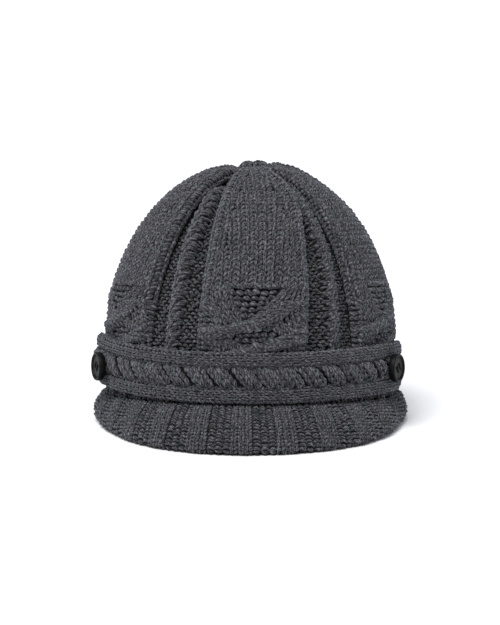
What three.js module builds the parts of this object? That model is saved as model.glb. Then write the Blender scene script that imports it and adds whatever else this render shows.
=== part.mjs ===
// A cable knit cap with a short ribbed peak and a buttoned strap over its front.
// Millimetres, +Z up. The front faces -Y, and the cap rests on Z = 0 on the back of
// its band and the edge of its peak, so crown, band and strap lean back a little.
import * as THREE from 'three';

const { degToRad, radToDeg, lerp, smoothstep, euclideanModulo } = THREE.MathUtils;

// The knit: one stitch's width, and how proud a two-stitch rib stands of the two-stitch
// groove beside it
const stitchWidth = 5.2;
const ribRelief = 1.6;

// Clearance between pieces that lie on each other
const seatGap = 0.35;

// Head opening and the ribbed band around it
const openingHalfWidth = 89.3;
const openingHalfDepth = 94;
const bandWall = 5;
const bandHeight = 22.5;

// Lean of the cap about the centre of its opening, and the height of that centre
const leanDegrees = 6.2;
const seamHeight = 31.2;

// Crown, measured up from its seam with the band. The cable of each panel crosses at
// crossingHeight, between a purl wedge above it and a purl diamond below.
const crownHeight = 132;
const crownWall = 5;
const backFullness = 4;
const recessDepth = 4.2;
const narrowRibSink = 0.5;
const gatherDip = 5;
const puffHeight = 16;
const crossingHeight = 37;
const crossingHalfHeight = 5;
const crossingPinch = 1.5;
const wedgeTop = 57;
const diamondHalfHeight = 9.7;
const wedgeHalfWidth = 13;
const wedgeDepth = 1.8;

// Peak
const peakReach = 32.5;
const peakThickness = 6;
const peakEndDegrees = 98;
const peakBulge = 4;
const peakSeamRise = 0.5;

// Strap
const strapHeight = 30.5;
const strapThickness = 4.6;
const strapEndDegrees = 82;
const strapCorner = 9;
const ropeRelief = 1.4;
const ropePitch = 14.6;

// Buttons
const buttonDiameter = 17.5;
const buttonThickness = 3.4;
const buttonRimWidth = 1.8;
const buttonEdgeRadius = 0.6;
const buttonDishDepth = 0.9;
const buttonHoleDiameter = 1.9;
const buttonHoleSpacing = 3.6;
const buttonDegrees = 67;

// Facets round a button and round one of its holes
const buttonSides = 36;
const buttonHoleSides = 10;

// Panels of the crown, from the front one round by way of +X. Lean is the angle
// that a panel's middle strays by at mid height, in degrees; puff and crest are
// how far the panel stands out, on its side and near the gather, as shares of recessDepth.
const panels = [
  { lean: 3.5, puff: 0.72, crest: -0.1 },
  { lean: 2.0, puff: 0.8, crest: -0.4 },
  { lean: -1.5, puff: 0.75, crest: -0.2 },
  { lean: -2.5, puff: 0.7, crest: 0.4 },
  { lean: 1.0, puff: 0.8, crest: -0.2 },
  { lean: -0.5, puff: 0.8, crest: -0.15 },
];

// How the crown changes on its way up, by degrees round its curve: the share of a
// sector that its panel takes, and shares of recessDepth, of the panels' puff and
// crest, of backFullness and of gatherDip
const crownRise = [
  { rise: 0, panel: 0.63, recess: 0.6, puff: 1, crest: 0, fullness: 0, dip: 0 },
  { rise: 12, panel: 0.64, recess: 1.08, puff: 1, crest: 0, fullness: 0.4, dip: 0 },
  { rise: 45, panel: 0.68, recess: 1.28, puff: 1, crest: 0.12, fullness: 1, dip: 0 },
  { rise: 62, panel: 0.7, recess: 1.35, puff: 1, crest: 0.45, fullness: 0.83, dip: 0 },
  { rise: 73, panel: 0.72, recess: 1.35, puff: 0.97, crest: 0.75, fullness: 0.56, dip: 0 },
  { rise: 79, panel: 0.73, recess: 0.88, puff: 0.64, crest: 0.57, fullness: 0.37, dip: 0.2 },
  { rise: 84, panel: 0.74, recess: 0.48, puff: 0.35, crest: 0.33, fullness: 0.2, dip: 0.7 },
  { rise: 90, panel: 0.74, recess: 0, puff: 0, crest: 0, fullness: 0, dip: 1 },
];

// Rows of the crown above its straight part, as degrees round its curve
const crownRows = [3, 7, 11, 16, 21, 27, 34, 41, 48, 55, 62, 68, 74, 79, 83.5, 87];

// Columns across half a sector: the panel from its middle to its edge, then the
// recess from that edge to the middle of the narrow rib
const panelColumns = [
  { across: 0, height: 1 },
  { across: 0.36, height: 0.95 },
  { across: 0.72, height: 0.68 },
  { across: 0.96, height: 0.2 },
];
const recessColumns = [
  { across: 0.12, height: 0 },
  { across: 0.5, height: 0 },
  { across: 0.72, height: 0.8 },
  { across: 1, height: 1 },
];

// Columns across one rib and the groove beside it, for the band and the peak
const ribColumns = [
  { along: 0.03, ridge: 1 },
  { along: 0.47, ridge: 1 },
  { along: 0.53, ridge: 0 },
  { along: 0.97, ridge: 0 },
];

// Reach of the peak's edge and height of that edge, by angle from the front, as
// shares of peakReach and seamHeight
const peakOutline = [
  { angle: -98, reach: 0.1, lift: 0.25 },
  { angle: -82, reach: 0.19, lift: 0.05 },
  { angle: -67, reach: 0.26, lift: 0 },
  { angle: -50, reach: 0.45, lift: 0 },
  { angle: -35, reach: 0.73, lift: 0 },
  { angle: -20, reach: 0.93, lift: 0 },
  { angle: -7, reach: 1.01, lift: 0 },
  { angle: 7, reach: 1, lift: 0 },
  { angle: 20, reach: 0.94, lift: 0 },
  { angle: 35, reach: 0.81, lift: 0 },
  { angle: 50, reach: 0.57, lift: 0 },
  { angle: 67, reach: 0.27, lift: 0 },
  { angle: 82, reach: 0.19, lift: 0.05 },
  { angle: 98, reach: 0.1, lift: 0.25 },
];

// Places round a section of the peak: how far from the seam to the edge, how much
// of the thickness is under it, and how much the ribs show
const peakSection = [
  { toward: 0, face: 1, rib: 0 },
  { toward: 0.22, face: 1, rib: 1 },
  { toward: 0.5, face: 1, rib: 1 },
  { toward: 0.78, face: 1, rib: 1 },
  { toward: 0.93, face: 0.8, rib: 1 },
  { toward: 1, face: 0.4, rib: 0.6 },
  { toward: 1, face: 0, rib: 0 },
  { toward: 0.8, face: 0, rib: 0 },
  { toward: 0.4, face: 0, rib: 0 },
  { toward: 0, face: 0, rib: 0 },
];

// How the strap lies: its ends climb the cap by shares of strapHeight and stand off
// it by shares of strapThickness
const strapLie = [
  { angle: -82, climb: 0.2, standOff: 0.45 },
  { angle: -67, climb: 0.14, standOff: 0.3 },
  { angle: -45, climb: 0.07, standOff: 0 },
  { angle: -15, climb: 0, standOff: 0 },
  { angle: 15, climb: 0, standOff: 0 },
  { angle: 45, climb: 0.06, standOff: 0 },
  { angle: 67, climb: 0.1, standOff: 0.05 },
  { angle: 82, climb: 0.11, standOff: 0.15 },
];

// Profile across the strap, from its lower edge up: two plain borders, a groove
// inside each, and the twisted rope between them. Relief is a share of the strap's
// thickness and rope one of ropeRelief.
const strapProfile = [
  { across: 0, relief: -0.21, rope: 0 },
  { across: 0.07, relief: 0, rope: 0 },
  { across: 0.24, relief: 0, rope: 0 },
  { across: 0.32, relief: -0.14, rope: 0.1 },
  { across: 0.42, relief: 0.03, rope: 0.75 },
  { across: 0.58, relief: 0.03, rope: 0.75 },
  { across: 0.68, relief: -0.14, rope: 0.1 },
  { across: 0.76, relief: 0, rope: 0 },
  { across: 0.93, relief: 0, rope: 0 },
  { across: 1, relief: -0.21, rope: 0 },
];

// Rows at each rounded end of the strap, as shares of strapCorner
const strapEndRows = [0, 0.25, 0.6];

const knit = { color: 0x47484d, roughness: 0.95, metalness: 0 };
const blackPlastic = { color: 0x1c1c1e, roughness: 0.35, metalness: 0 };

const leanAngle = degToRad(leanDegrees);
const sectorAngle = (2 * Math.PI) / panels.length;
const bandHalfWidth = openingHalfWidth + bandWall;
const bandHalfDepth = openingHalfDepth + bandWall;
const meanBandRadius = (bandHalfWidth + bandHalfDepth) / 2;
const crownStraight = strapHeight / 2;
const ribPitch = 4 * stitchWidth;

// Reads a column of a table at a key, straight between its rows
function readTable(table, key, column, at) {
  const after = table.findIndex((row) => row[key] >= at);
  if (after === 0) return table[0][column];
  if (after < 0) return table[table.length - 1][column];
  const [from, to] = [table[after - 1], table[after]];
  return lerp(from[column], to[column], (at - from[key]) / (to[key] - from[key]));
}

// Reads a table that runs by angle from the front, stretched to end at endDegrees
function readByAngle(table, column, angle, endDegrees) {
  const tableEnd = table[table.length - 1].angle;
  return readTable(table, 'angle', column, (radToDeg(angle) * tableEnd) / endDegrees);
}

// A place on the leaning cap: an angle from the front, a height above the seam of
// crown and band, and a distance outside the band's ellipse, shrunk towards the top
function place(angle, height, outside, shrink = 1) {
  const x = (bandHalfWidth * shrink + outside) * Math.sin(angle);
  const back = -(bandHalfDepth * shrink + outside) * Math.cos(angle);
  return new THREE.Vector3(
    x,
    back * Math.cos(leanAngle) + height * Math.sin(leanAngle),
    seamHeight - back * Math.sin(leanAngle) + height * Math.cos(leanAngle),
  );
}

// Height of the band's rim below the seam: the band's own height, cut flat where
// that would reach below the ground
function rimHeight(angle, outside) {
  return -Math.min(bandHeight, place(angle, 0, outside).z / Math.cos(leanAngle));
}

// How far the strap climbs the cap at an angle
function strapClimb(angle) {
  return strapHeight * readByAngle(strapLie, 'climb', angle, strapEndDegrees);
}

// A place on the strap: a height from its middle line and a distance off the cap
function strapPlace(angle, height, outside) {
  const standOff = strapThickness * readByAngle(strapLie, 'standOff', angle, strapEndDegrees);
  return place(angle, height + strapClimb(angle), outside + standOff);
}

// Triangles between two rings of points that start at two numbers. A ring with
// fewer points, down to one, shares each of them among its neighbour's.
function joinRings(low, lowStart, high, highStart) {
  const count = Math.max(low.length, high.length);
  const triangles = [];
  for (let i = 0; i < count; i += 1) {
    const next = (i + 1) % count;
    const p = lowStart + Math.floor((i * low.length) / count);
    const q = lowStart + Math.floor((next * low.length) / count);
    const r = highStart + Math.floor((i * high.length) / count);
    const s = highStart + Math.floor((next * high.length) / count);
    if (p !== q) triangles.push([p, q, s]);
    if (r !== s) triangles.push([p, s, r]);
  }
  return triangles;
}

// Joins rings of points in order, and the last to the first where loop is set
function skinRings(rings, loop) {
  const points = rings.flat();
  const starts = rings.map((ring, i) => rings.slice(0, i).flat().length);
  const last = loop ? rings.length : rings.length - 1;
  const triangles = [];
  for (let i = 0; i < last; i += 1) {
    const next = (i + 1) % rings.length;
    triangles.push(...joinRings(rings[i], starts[i], rings[next], starts[next]));
  }
  return { points, triangles };
}

// Closes the ends of a skin of equal rings with flat fans
function capEnds(skin, around) {
  const lastStart = skin.points.length - around;
  for (let i = 1; i + 1 < around; i += 1) {
    skin.triangles.push([0, i + 1, i], [lastStart, lastStart + i, lastStart + i + 1]);
  }
  return skin;
}

// Turns points and triangles into a geometry
function toGeometry({ points, triangles }) {
  const geometry = new THREE.BufferGeometry();
  const numbers = points.flatMap((point) => point.toArray());
  geometry.setAttribute('position', new THREE.Float32BufferAttribute(numbers, 3));
  geometry.setIndex(triangles.flat());
  geometry.computeVertexNormals();
  return geometry;
}

// Names a mesh and gives it its material
function makePiece(name, geometry, finish) {
  const mesh = new THREE.Mesh(geometry, new THREE.MeshStandardMaterial(finish));
  mesh.name = name;
  return mesh;
}

// Crown

// Blends a column of the panels table round the crown
function panelValue(angle, column) {
  const turn = euclideanModulo(angle / sectorAngle, panels.length);
  const here = Math.floor(turn);
  const after = (here + 1) % panels.length;
  return lerp(panels[here][column], panels[after][column], smoothstep(turn - here, 0, 1));
}

// How far from a panel's middle the purl between its two crossing strands reaches
function purlReach(height) {
  const diamondMiddle = crossingHeight - diamondHalfHeight;
  const wedge = (height - crossingHeight) / (wedgeTop - crossingHeight);
  const diamond = 1 - Math.abs(height - diamondMiddle) / diamondHalfHeight;
  if (height > wedgeTop) return 0;
  return wedgeHalfWidth * Math.max(wedge, diamond, 0);
}

// Columns of a whole sector, from the middle of one panel to the middle of the next
function sectorColumns() {
  const half = [
    ...panelColumns.map((column) => ({ ...column, onPanel: true, side: 1 })),
    ...recessColumns.map((column) => ({ ...column, onPanel: false, side: 1 })),
  ];
  const otherHalf = half.slice(1, -1).reverse().map((column) => ({ ...column, side: -1 }));
  return [...half, ...otherHalf];
}

// Relief of a panel or of the recess beside it
function crownRelief(column, angle, rise, height, panelShare) {
  const share = (name) => readTable(crownRise, 'rise', name, rise);
  if (!column.onPanel) {
    const sink = narrowRibSink * Math.min(1, share('recess'));
    return lerp(-recessDepth * share('recess'), -sink, column.height);
  }
  const fromFront = euclideanModulo(angle + Math.PI, 2 * Math.PI) - Math.PI;
  const freeFrom = crownStraight + strapClimb(fromFront);
  const risen = smoothstep(height, freeFrom, freeFrom + puffHeight);
  const fromMiddle = column.across * panelShare * 0.5 * sectorAngle * bandHalfWidth;
  let relief = recessDepth * panelValue(angle, 'puff') * share('puff') * risen * column.height;
  if (fromMiddle < purlReach(height)) relief -= wedgeDepth;
  if (Math.abs(height - crossingHeight) < crossingHalfHeight) relief -= crossingPinch * column.across ** 4;
  return relief;
}

// A point of the crown: on the straight part at a height, or above it at a rise.
// ReliefShare is how much of the relief shows, and inset how far inside it lies.
function crownPoint(sector, column, { straight, rise }, reliefShare, inset) {
  const share = (name) => readTable(crownRise, 'rise', name, rise);
  const panelShare = share('panel');
  const across = column.onPanel ? column.across * panelShare : lerp(panelShare, 1, column.across);
  const curve = degToRad(rise);
  const height = rise > 0 ? crownStraight + (crownHeight - crownStraight) * Math.sin(curve) : straight;
  const plainAngle = (sector + column.side * across * 0.5) * sectorAngle;
  const angle = plainAngle + degToRad(panelValue(plainAngle, 'lean')) * Math.sin(2 * curve);
  const relief = crownRelief(column, plainAngle, rise, height, panelShare);
  const crest = recessDepth * panelValue(plainAngle, 'crest') * share('crest');
  const fullness = backFullness * Math.max(0, -Math.cos(plainAngle)) * share('fullness');
  const out = relief * reliefShare + crest + fullness - inset;
  const lifted = height + out * Math.sin(curve) - gatherDip * share('dip');
  return place(angle, lifted, out * Math.cos(curve), Math.cos(curve));
}

function makeCrown() {
  const columns = sectorColumns();
  const halfCount = panelColumns.length + recessColumns.length;
  const ringOf = (row, reliefShare, inset, step) => panels.flatMap((panel, sector) => (
    columns.filter((column, i) => i % step === 0).map((column, i) => (
      crownPoint(i * step < halfCount ? sector : sector + 1, column, row, reliefShare, inset)
    ))
  ));
  const straightRows = [seatGap, crownStraight / 2, crownStraight].map((straight) => ({ straight, rise: 0 }));
  const rows = [...straightRows, ...crownRows.map((rise) => ({ rise }))];
  const innerRows = rows.filter((row, i) => i % 2 === 0);
  const outer = rows.map((row) => ringOf(row, 1, 0, 1));
  const inner = innerRows.map((row) => ringOf(row, 0.5, crownWall, 2));
  const top = place(0, crownHeight - gatherDip, 0, 0);
  const under = place(0, crownHeight - gatherDip - crownWall, 0, 0);

  // From the gather's underside down the inner face, round the rim and up the outer face
  return toGeometry(skinRings([[under], ...inner.reverse(), ...outer, [top]], false));
}

// Ribbed band

function makeBand() {
  const ribs = Math.round((2 * Math.PI * meanBandRadius) / ribPitch);
  const ringOf = (share, inset, relief, step) => {
    const ring = [];
    for (let rib = 0; rib < ribs; rib += 1) {
      for (let i = 0; i < ribColumns.length; i += step) {
        const angle = ((rib + ribColumns[i].along) / ribs) * 2 * Math.PI;
        const outside = -inset - relief * (1 - ribColumns[i].ridge);
        ring.push(place(angle, rimHeight(angle, outside) * share, outside));
      }
    }
    return ring;
  };
  const inner = [0, 0.5, 1].map((share) => ringOf(share, bandWall, 0, 2));
  const outer = [1, 0.75, 0.3, 0].map((share) => ringOf(share, 0, ribRelief, 1));
  return toGeometry(skinRings([...inner, ...outer], true));
}

// Peak

// A smooth line through places worked out from an angle, read by its own length
function lineByAngle(pointAt) {
  const steps = 48;
  const end = degToRad(peakEndDegrees);
  const points = Array.from({ length: steps + 1 }, (unused, i) => pointAt(lerp(-end, end, i / steps)));
  return new THREE.CatmullRomCurve3(points);
}

// One section of the peak, from its seam on the band out to its edge and back
function peakRing(low, high, tip, ridge) {
  const outward = new THREE.Vector3(tip.x - low.x, tip.y - low.y, 0);
  const bulge = peakBulge * lerp(0.4, 1, Math.min(1, outward.length() / peakReach));
  outward.normalize();
  return peakSection.map(({ toward, face, rib }) => {
    const point = low.clone().lerp(tip, toward);
    point.addScaledVector(high.clone().sub(low), face * lerp(1, 0.65, toward));
    const arch = bulge * Math.sin(Math.PI * toward ** 0.9) * lerp(0.5, 1, face);
    const sunk = ribRelief * (1 - ridge) * rib;
    point.z += arch - sunk * 0.8;
    point.addScaledVector(outward, arch * 0.4 - sunk * 0.6 + peakThickness * 0.35 * face * toward);
    point.z = Math.max(point.z, tip.z);
    return point;
  });
}

function makePeak() {
  // The peak is sewn to the outside of the band just above its rim
  const seamAt = (rise) => lineByAngle((angle) => place(angle, rimHeight(angle, seatGap) + rise, seatGap));
  const seamLow = seamAt(peakSeamRise);
  const seamHigh = seamAt(peakSeamRise + peakThickness);
  const edge = lineByAngle((angle) => {
    const out = place(angle, 0, peakReach * readByAngle(peakOutline, 'reach', angle, peakEndDegrees));
    out.z = seamHeight * readByAngle(peakOutline, 'lift', angle, peakEndDegrees);
    return out;
  });
  const ribs = Math.round(seamLow.getLength() / ribPitch);
  const stations = [{ share: 0, ridge: 0 }];
  for (let rib = 0; rib < ribs; rib += 1) {
    ribColumns.forEach(({ along, ridge }) => stations.push({ share: (rib + along) / ribs, ridge }));
  }
  stations.push({ share: 1, ridge: 0 });
  const rings = stations.map(({ share, ridge }) => {
    const tip = edge.getPointAt(share);
    tip.z = Math.max(0, tip.z);
    return peakRing(seamLow.getPointAt(share), seamHigh.getPointAt(share), tip, ridge);
  });
  return toGeometry(capEnds(skinRings(rings, false), peakSection.length));
}

// Strap

// Half the height of the strap at a distance from its end, where its corners are round
function strapHalfHeight(fromEnd) {
  const left = 1 - Math.min(1, fromEnd / strapCorner);
  return strapHeight / 2 - strapCorner * (1 - Math.sqrt(1 - left ** 2));
}

function makeStrap() {
  const end = degToRad(strapEndDegrees);
  const length = 2 * end * (meanBandRadius + strapThickness);
  const endRows = strapEndRows.map((share) => share * strapCorner);
  const step = ropePitch / 4;
  const middle = Array.from({ length: Math.floor(length / step) }, (unused, i) => (i + 0.5) * step)
    .filter((along) => Math.min(along, length - along) > strapCorner * 0.8);
  const stations = [...endRows, ...middle, ...endRows.map((along) => length - along).reverse()];
  const rings = stations.map((along) => {
    const angle = end * (1 - (2 * along) / length);
    const fromEnd = Math.min(along, length - along);
    const half = strapHalfHeight(fromEnd);
    const ropeFade = Math.min(1, fromEnd / (1.5 * strapCorner));
    const outer = strapProfile.map(({ across, relief, rope }) => {
      const twist = Math.cos((2 * Math.PI * along) / ropePitch + 6 * (across - 0.5));
      const thickness = strapThickness * (1 + relief) + rope * ropeRelief * twist * ropeFade;
      return strapPlace(angle, half * (2 * across - 1), seatGap + thickness);
    });
    const inner = [1, 0.5, 0].map((across) => strapPlace(angle, half * (2 * across - 1), seatGap));
    return [...outer, ...inner];
  });
  return toGeometry(capEnds(skinRings(rings, false), strapProfile.length + 3));
}

// Buttons

// Points evenly round a circle in the plane of the button
function circle(radius, sides, centreX = 0, centreY = 0) {
  return Array.from({ length: sides }, (unused, i) => {
    const angle = (2 * Math.PI * i) / sides;
    return new THREE.Vector2(centreX + radius * Math.cos(angle), centreY + radius * Math.sin(angle));
  });
}

// The button is one skin round its rim, closed above and below by two flat faces
// with four holes, which are joined by the holes' walls
function makeButtonGeometry() {
  const radius = buttonDiameter / 2;
  const dishRadius = radius - buttonRimWidth;
  const floor = buttonThickness - buttonDishDepth;
  const rim = [
    { radius: dishRadius, level: 0 },
    { radius: radius - buttonEdgeRadius, level: 0 },
    { radius, level: buttonEdgeRadius },
    { radius, level: buttonThickness - buttonEdgeRadius },
    { radius: radius - buttonEdgeRadius, level: buttonThickness },
    { radius: dishRadius + buttonEdgeRadius, level: buttonThickness },
    { radius: dishRadius, level: floor },
  ];
  const lift = (ring, level) => ring.map((p) => new THREE.Vector3(p.x, p.y, level));
  const skin = skinRings(rim.map((row) => lift(circle(row.radius, buttonSides), row.level)), false);
  const topStart = skin.points.length - buttonSides;
  const reach = buttonHoleSpacing / 2;
  const holes = [[1, 1], [-1, 1], [-1, -1], [1, -1]].map(([x, y]) => (
    circle(buttonHoleDiameter / 2, buttonHoleSides, x * reach, y * reach)
  ));
  const holeStart = skin.points.length;
  holes.forEach((hole, h) => {
    const start = holeStart + 2 * h * buttonHoleSides;
    const [bottom, top] = [lift(hole, 0), lift(hole, floor)];
    skin.points.push(...bottom, ...top);
    skin.triangles.push(...joinRings(top, start + buttonHoleSides, bottom, start));
  });
  const outline = circle(dishRadius, buttonSides);
  const numberOf = (i, onTop) => {
    if (i < buttonSides) return onTop ? topStart + i : i;
    const hole = Math.floor((i - buttonSides) / buttonHoleSides);
    const along = (i - buttonSides) % buttonHoleSides;
    return holeStart + (2 * hole + (onTop ? 1 : 0)) * buttonHoleSides + along;
  };
  THREE.ShapeUtils.triangulateShape(outline, holes).forEach(([a, b, c]) => {
    skin.triangles.push([a, b, c].map((i) => numberOf(i, true)));
    skin.triangles.push([c, b, a].map((i) => numberOf(i, false)));
  });
  return toGeometry(skin);
}

// Stands a button on the outside of the strap, its face turned outward
function placeButton(mesh, side) {
  const angle = side * degToRad(buttonDegrees);
  const proud = ropeRelief + 2 * seatGap;
  mesh.position.copy(strapPlace(angle, 0, strapThickness + proud));
  const outward = strapPlace(angle, 0, strapThickness + 1).sub(strapPlace(angle, 0, strapThickness));
  mesh.quaternion.setFromUnitVectors(new THREE.Vector3(0, 0, 1), outward.normalize());
  return mesh;
}

const cap = new THREE.Group();
cap.add(makePiece('crown', makeCrown(), knit));
cap.add(makePiece('rib_band', makeBand(), knit));
cap.add(makePiece('peak', makePeak(), knit));
cap.add(makePiece('strap', makeStrap(), knit));
cap.add(placeButton(makePiece('button_left', makeButtonGeometry(), blackPlastic), -1));
cap.add(placeButton(makePiece('button_right', makeButtonGeometry(), blackPlastic), 1));

// The origin is under the middle of the whole cap
cap.updateMatrixWorld(true);
const middle = new THREE.Box3().setFromObject(cap, true).getCenter(new THREE.Vector3());
cap.position.set(-middle.x, -middle.y, 0);

export default cap;
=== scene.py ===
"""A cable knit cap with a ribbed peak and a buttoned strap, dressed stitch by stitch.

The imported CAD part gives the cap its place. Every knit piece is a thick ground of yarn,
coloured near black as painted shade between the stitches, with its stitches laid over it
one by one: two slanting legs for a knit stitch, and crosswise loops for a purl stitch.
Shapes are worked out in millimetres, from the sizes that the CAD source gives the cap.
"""
import logging
import math
from dataclasses import dataclass, field, replace
from enum import Enum
from typing import Callable

import bmesh
import bpy
import numpy as np
from mathutils import Matrix, Vector


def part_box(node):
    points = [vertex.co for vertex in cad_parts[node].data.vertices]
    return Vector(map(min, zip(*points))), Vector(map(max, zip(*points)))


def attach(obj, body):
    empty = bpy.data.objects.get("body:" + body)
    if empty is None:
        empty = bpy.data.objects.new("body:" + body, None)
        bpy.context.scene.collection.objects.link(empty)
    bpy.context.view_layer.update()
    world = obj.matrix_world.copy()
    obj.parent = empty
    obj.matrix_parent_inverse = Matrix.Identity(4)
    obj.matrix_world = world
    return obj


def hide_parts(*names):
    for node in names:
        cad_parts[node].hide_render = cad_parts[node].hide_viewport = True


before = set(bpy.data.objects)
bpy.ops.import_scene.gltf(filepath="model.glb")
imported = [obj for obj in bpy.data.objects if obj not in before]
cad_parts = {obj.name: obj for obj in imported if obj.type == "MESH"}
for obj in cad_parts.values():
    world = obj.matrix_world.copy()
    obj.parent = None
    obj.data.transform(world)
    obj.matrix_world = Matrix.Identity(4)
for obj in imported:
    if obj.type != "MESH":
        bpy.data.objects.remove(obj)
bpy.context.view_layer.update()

LOG = logging.getLogger("knit_cap")
MM = 0.001
# Radius of a loose fibre and girth of the yarn, in millimetres
FIBRE_RADIUS = 0.045
YARN_GIRTH = 3.6
# Each run of yarn takes its flecks from its own place within this length
YARN_SPREAD = 400
# Side, CAD node, degrees from the front, and rise over the strap's middle line
BUTTONS = ((-1, "button_left", 66.0, -2.6), (1, "button_right", 65.2, 0.0))
Array = np.ndarray


def smoothstep(value: Array, low: float, high: float) -> Array:
    """Ease from 0 at low to 1 at high."""
    share = np.clip((np.asarray(value, float) - low) / (high - low), 0.0, 1.0)
    return share * share * (3.0 - 2.0 * share)


def bell(value: Array, middle: float, half_width: float) -> Array:
    """Smooth bump of height 1 round a middle, 0 beyond the half width."""
    return 1.0 - smoothstep(np.abs(np.asarray(value, float) - middle), 0.0, half_width)


# Shape of the cap


@dataclass(frozen=True)
class CapForm:
    """Sizes and curves of the cap, after its CAD source. Millimetres and degrees."""

    half_width: float = 94.3
    half_depth: float = 99.0
    lean: float = 6.2
    seam_height: float = 31.2
    band_height: float = 22.5
    crown_height: float = 132.0
    straight: float = 15.25
    recess_depth: float = 4.2
    narrow_rib_sink: float = 0.5
    back_fullness: float = 4.0
    gather_dip: float = 5.0
    puff_height: float = 16.0
    strap_height: float = 30.5
    strap_thickness: float = 4.6
    strap_end: float = 82.0
    seat_gap: float = 0.35
    forward: float = 12.4

    # Panels from the front one round by way of +X: lean, puff and crest
    PANELS = ((3.5, 0.72, -0.1), (2.0, 0.8, -0.4), (-1.5, 0.75, -0.2),
              (-2.5, 0.7, 0.4), (1.0, 0.8, -0.2), (-0.5, 0.8, -0.15))
    # Way up the crown: degrees of rise, then panel share, recess, puff, crest, fullness, dip
    RISE = (
        (0, 0.63, 0.60, 1.00, 0.00, 0.00, 0.0),
        (12, 0.64, 1.08, 1.00, 0.00, 0.40, 0.0),
        (45, 0.68, 1.28, 1.00, 0.12, 1.00, 0.0),
        (62, 0.70, 1.35, 1.00, 0.45, 0.83, 0.0),
        (73, 0.72, 1.35, 0.97, 0.75, 0.56, 0.0),
        (79, 0.73, 0.88, 0.64, 0.57, 0.37, 0.2),
        (84, 0.74, 0.48, 0.35, 0.33, 0.20, 0.7),
        (90, 0.74, 0.00, 0.00, 0.00, 0.00, 1.0),
    )
    RISE_COLUMNS = ("panel", "recess", "puff", "crest", "fullness", "dip")
    # How the strap lies: angle, climb as a share of its height, stand-off of its thickness
    STRAP_LIE = ((-82, 0.26, 0.45), (-67, 0.18, 0.3), (-45, 0.07, 0.0), (-15, 0.0, 0.0),
                 (15, 0.0, 0.0), (45, 0.06, 0.0), (67, 0.1, 0.05), (82, 0.11, 0.15))

    @property
    def radius(self) -> float:
        """Mean radius of the band."""
        return (self.half_width + self.half_depth) / 2

    @property
    def sector(self) -> float:
        """Angle of one panel and its recess."""
        return 2 * math.pi / len(self.PANELS)

    def place(self, angle: Array, height: Array, outside: Array, shrink: Array = 1.0) -> Array:
        """Place on the leaning cap.

        Args:
            angle: Radians from the front, by way of +X.
            height: Millimetres above the seam of crown and band.
            outside: Millimetres outside the band's ellipse.
            shrink: Share of the ellipse that is left towards the top.

        Returns:
            Points in millimetres, in the row frame, with x, y, z along the last axis.
        """
        lean = math.radians(self.lean)
        x = (self.half_width * shrink + outside) * np.sin(angle)
        back = -(self.half_depth * shrink + outside) * np.cos(angle)
        y = back * math.cos(lean) + height * math.sin(lean) + self.forward
        z = self.seam_height - back * math.sin(lean) + height * math.cos(lean)
        return np.stack(np.broadcast_arrays(x, y, z), axis=-1)

    def rim_depth(self, angle: Array, outside: Array = 0.0) -> Array:
        """How far the band's rim lies below the seam: cut flat where it meets the ground."""
        room = self.place(angle, 0.0, outside)[..., 2] / math.cos(math.radians(self.lean))
        return np.minimum(self.band_height, room)

    def share(self, name: str, rise: Array) -> Array:
        """Read a column of the way up the crown, at a rise in radians.

        Args:
            name: Name of the column.
            rise: Radians up the crown.

        Returns:
            Its value there.
        """
        column = 1 + self.RISE_COLUMNS.index(name)
        rows = np.array(self.RISE, float)
        return np.interp(np.degrees(rise), rows[:, 0], rows[:, column])

    def panel_value(self, angle: Array, column: int) -> Array:
        """Blend a column of the panels round the crown.

        Args:
            angle: Radians from the front.
            column: Number of the column.

        Returns:
            The blended value.
        """
        values = np.array(self.PANELS, float)[:, column]
        turn = np.mod(np.asarray(angle, float) / self.sector, len(values))
        here = np.floor(turn).astype(int) % len(values)
        after = (here + 1) % len(values)
        ease = smoothstep(turn - np.floor(turn), 0.0, 1.0)
        return values[here] * (1 - ease) + values[after] * ease

    def strap_climb(self, angle: Array) -> Array:
        """How far the strap climbs the cap at an angle."""
        rows = np.array(self.STRAP_LIE, float)
        return self.strap_height * np.interp(np.degrees(angle), rows[:, 0], rows[:, 1])

    def strap_place(self, angle: Array, height: Array, outside: Array) -> Array:
        """Place on the strap: a height from its middle line and a distance off the cap.

        Args:
            angle: Radians from the front.
            height: Millimetres above the middle line.
            outside: Millimetres off the cap.

        Returns:
            Points in millimetres.
        """
        rows = np.array(self.STRAP_LIE, float)
        stand_off = self.strap_thickness * np.interp(np.degrees(angle), rows[:, 0], rows[:, 2])
        return self.place(angle, height + self.strap_climb(angle), outside + stand_off)


class Meridian:
    """Way up the crown by the length of its curve."""

    STEPS = 600

    def __init__(self, form: CapForm) -> None:
        """Measure the curve once.

        Args:
            form: Sizes of the cap.
        """
        self.form = form
        self.rises = np.linspace(0.0, math.pi / 2, self.STEPS)
        upward = (form.crown_height - form.straight) * np.cos(self.rises)
        inward = form.radius * np.sin(self.rises)
        speed = np.hypot(upward, inward)
        step = self.rises[1] - self.rises[0]
        middle = (speed[1:] + speed[:-1]) / 2 * step
        self.lengths = np.concatenate([[0.0], np.cumsum(middle)]) + form.straight
        self.total = float(self.lengths[-1])

    def rise(self, along: Array) -> Array:
        """Rise in radians at a length from the seam."""
        return np.interp(along, self.lengths, self.rises)

    def height(self, along: Array) -> Array:
        """Height above the seam at a length from it.

        Args:
            along: Length from the seam.

        Returns:
            Millimetres above the seam.
        """
        form = self.form
        curved = form.straight + (form.crown_height - form.straight) * np.sin(self.rise(along))
        return np.where(np.asarray(along) < form.straight, along, curved)

    def radius(self, along: Array) -> Array:
        """Radius of the crown there, before its relief."""
        return np.maximum(0.4, self.form.radius * np.cos(self.rise(along)))


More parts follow.
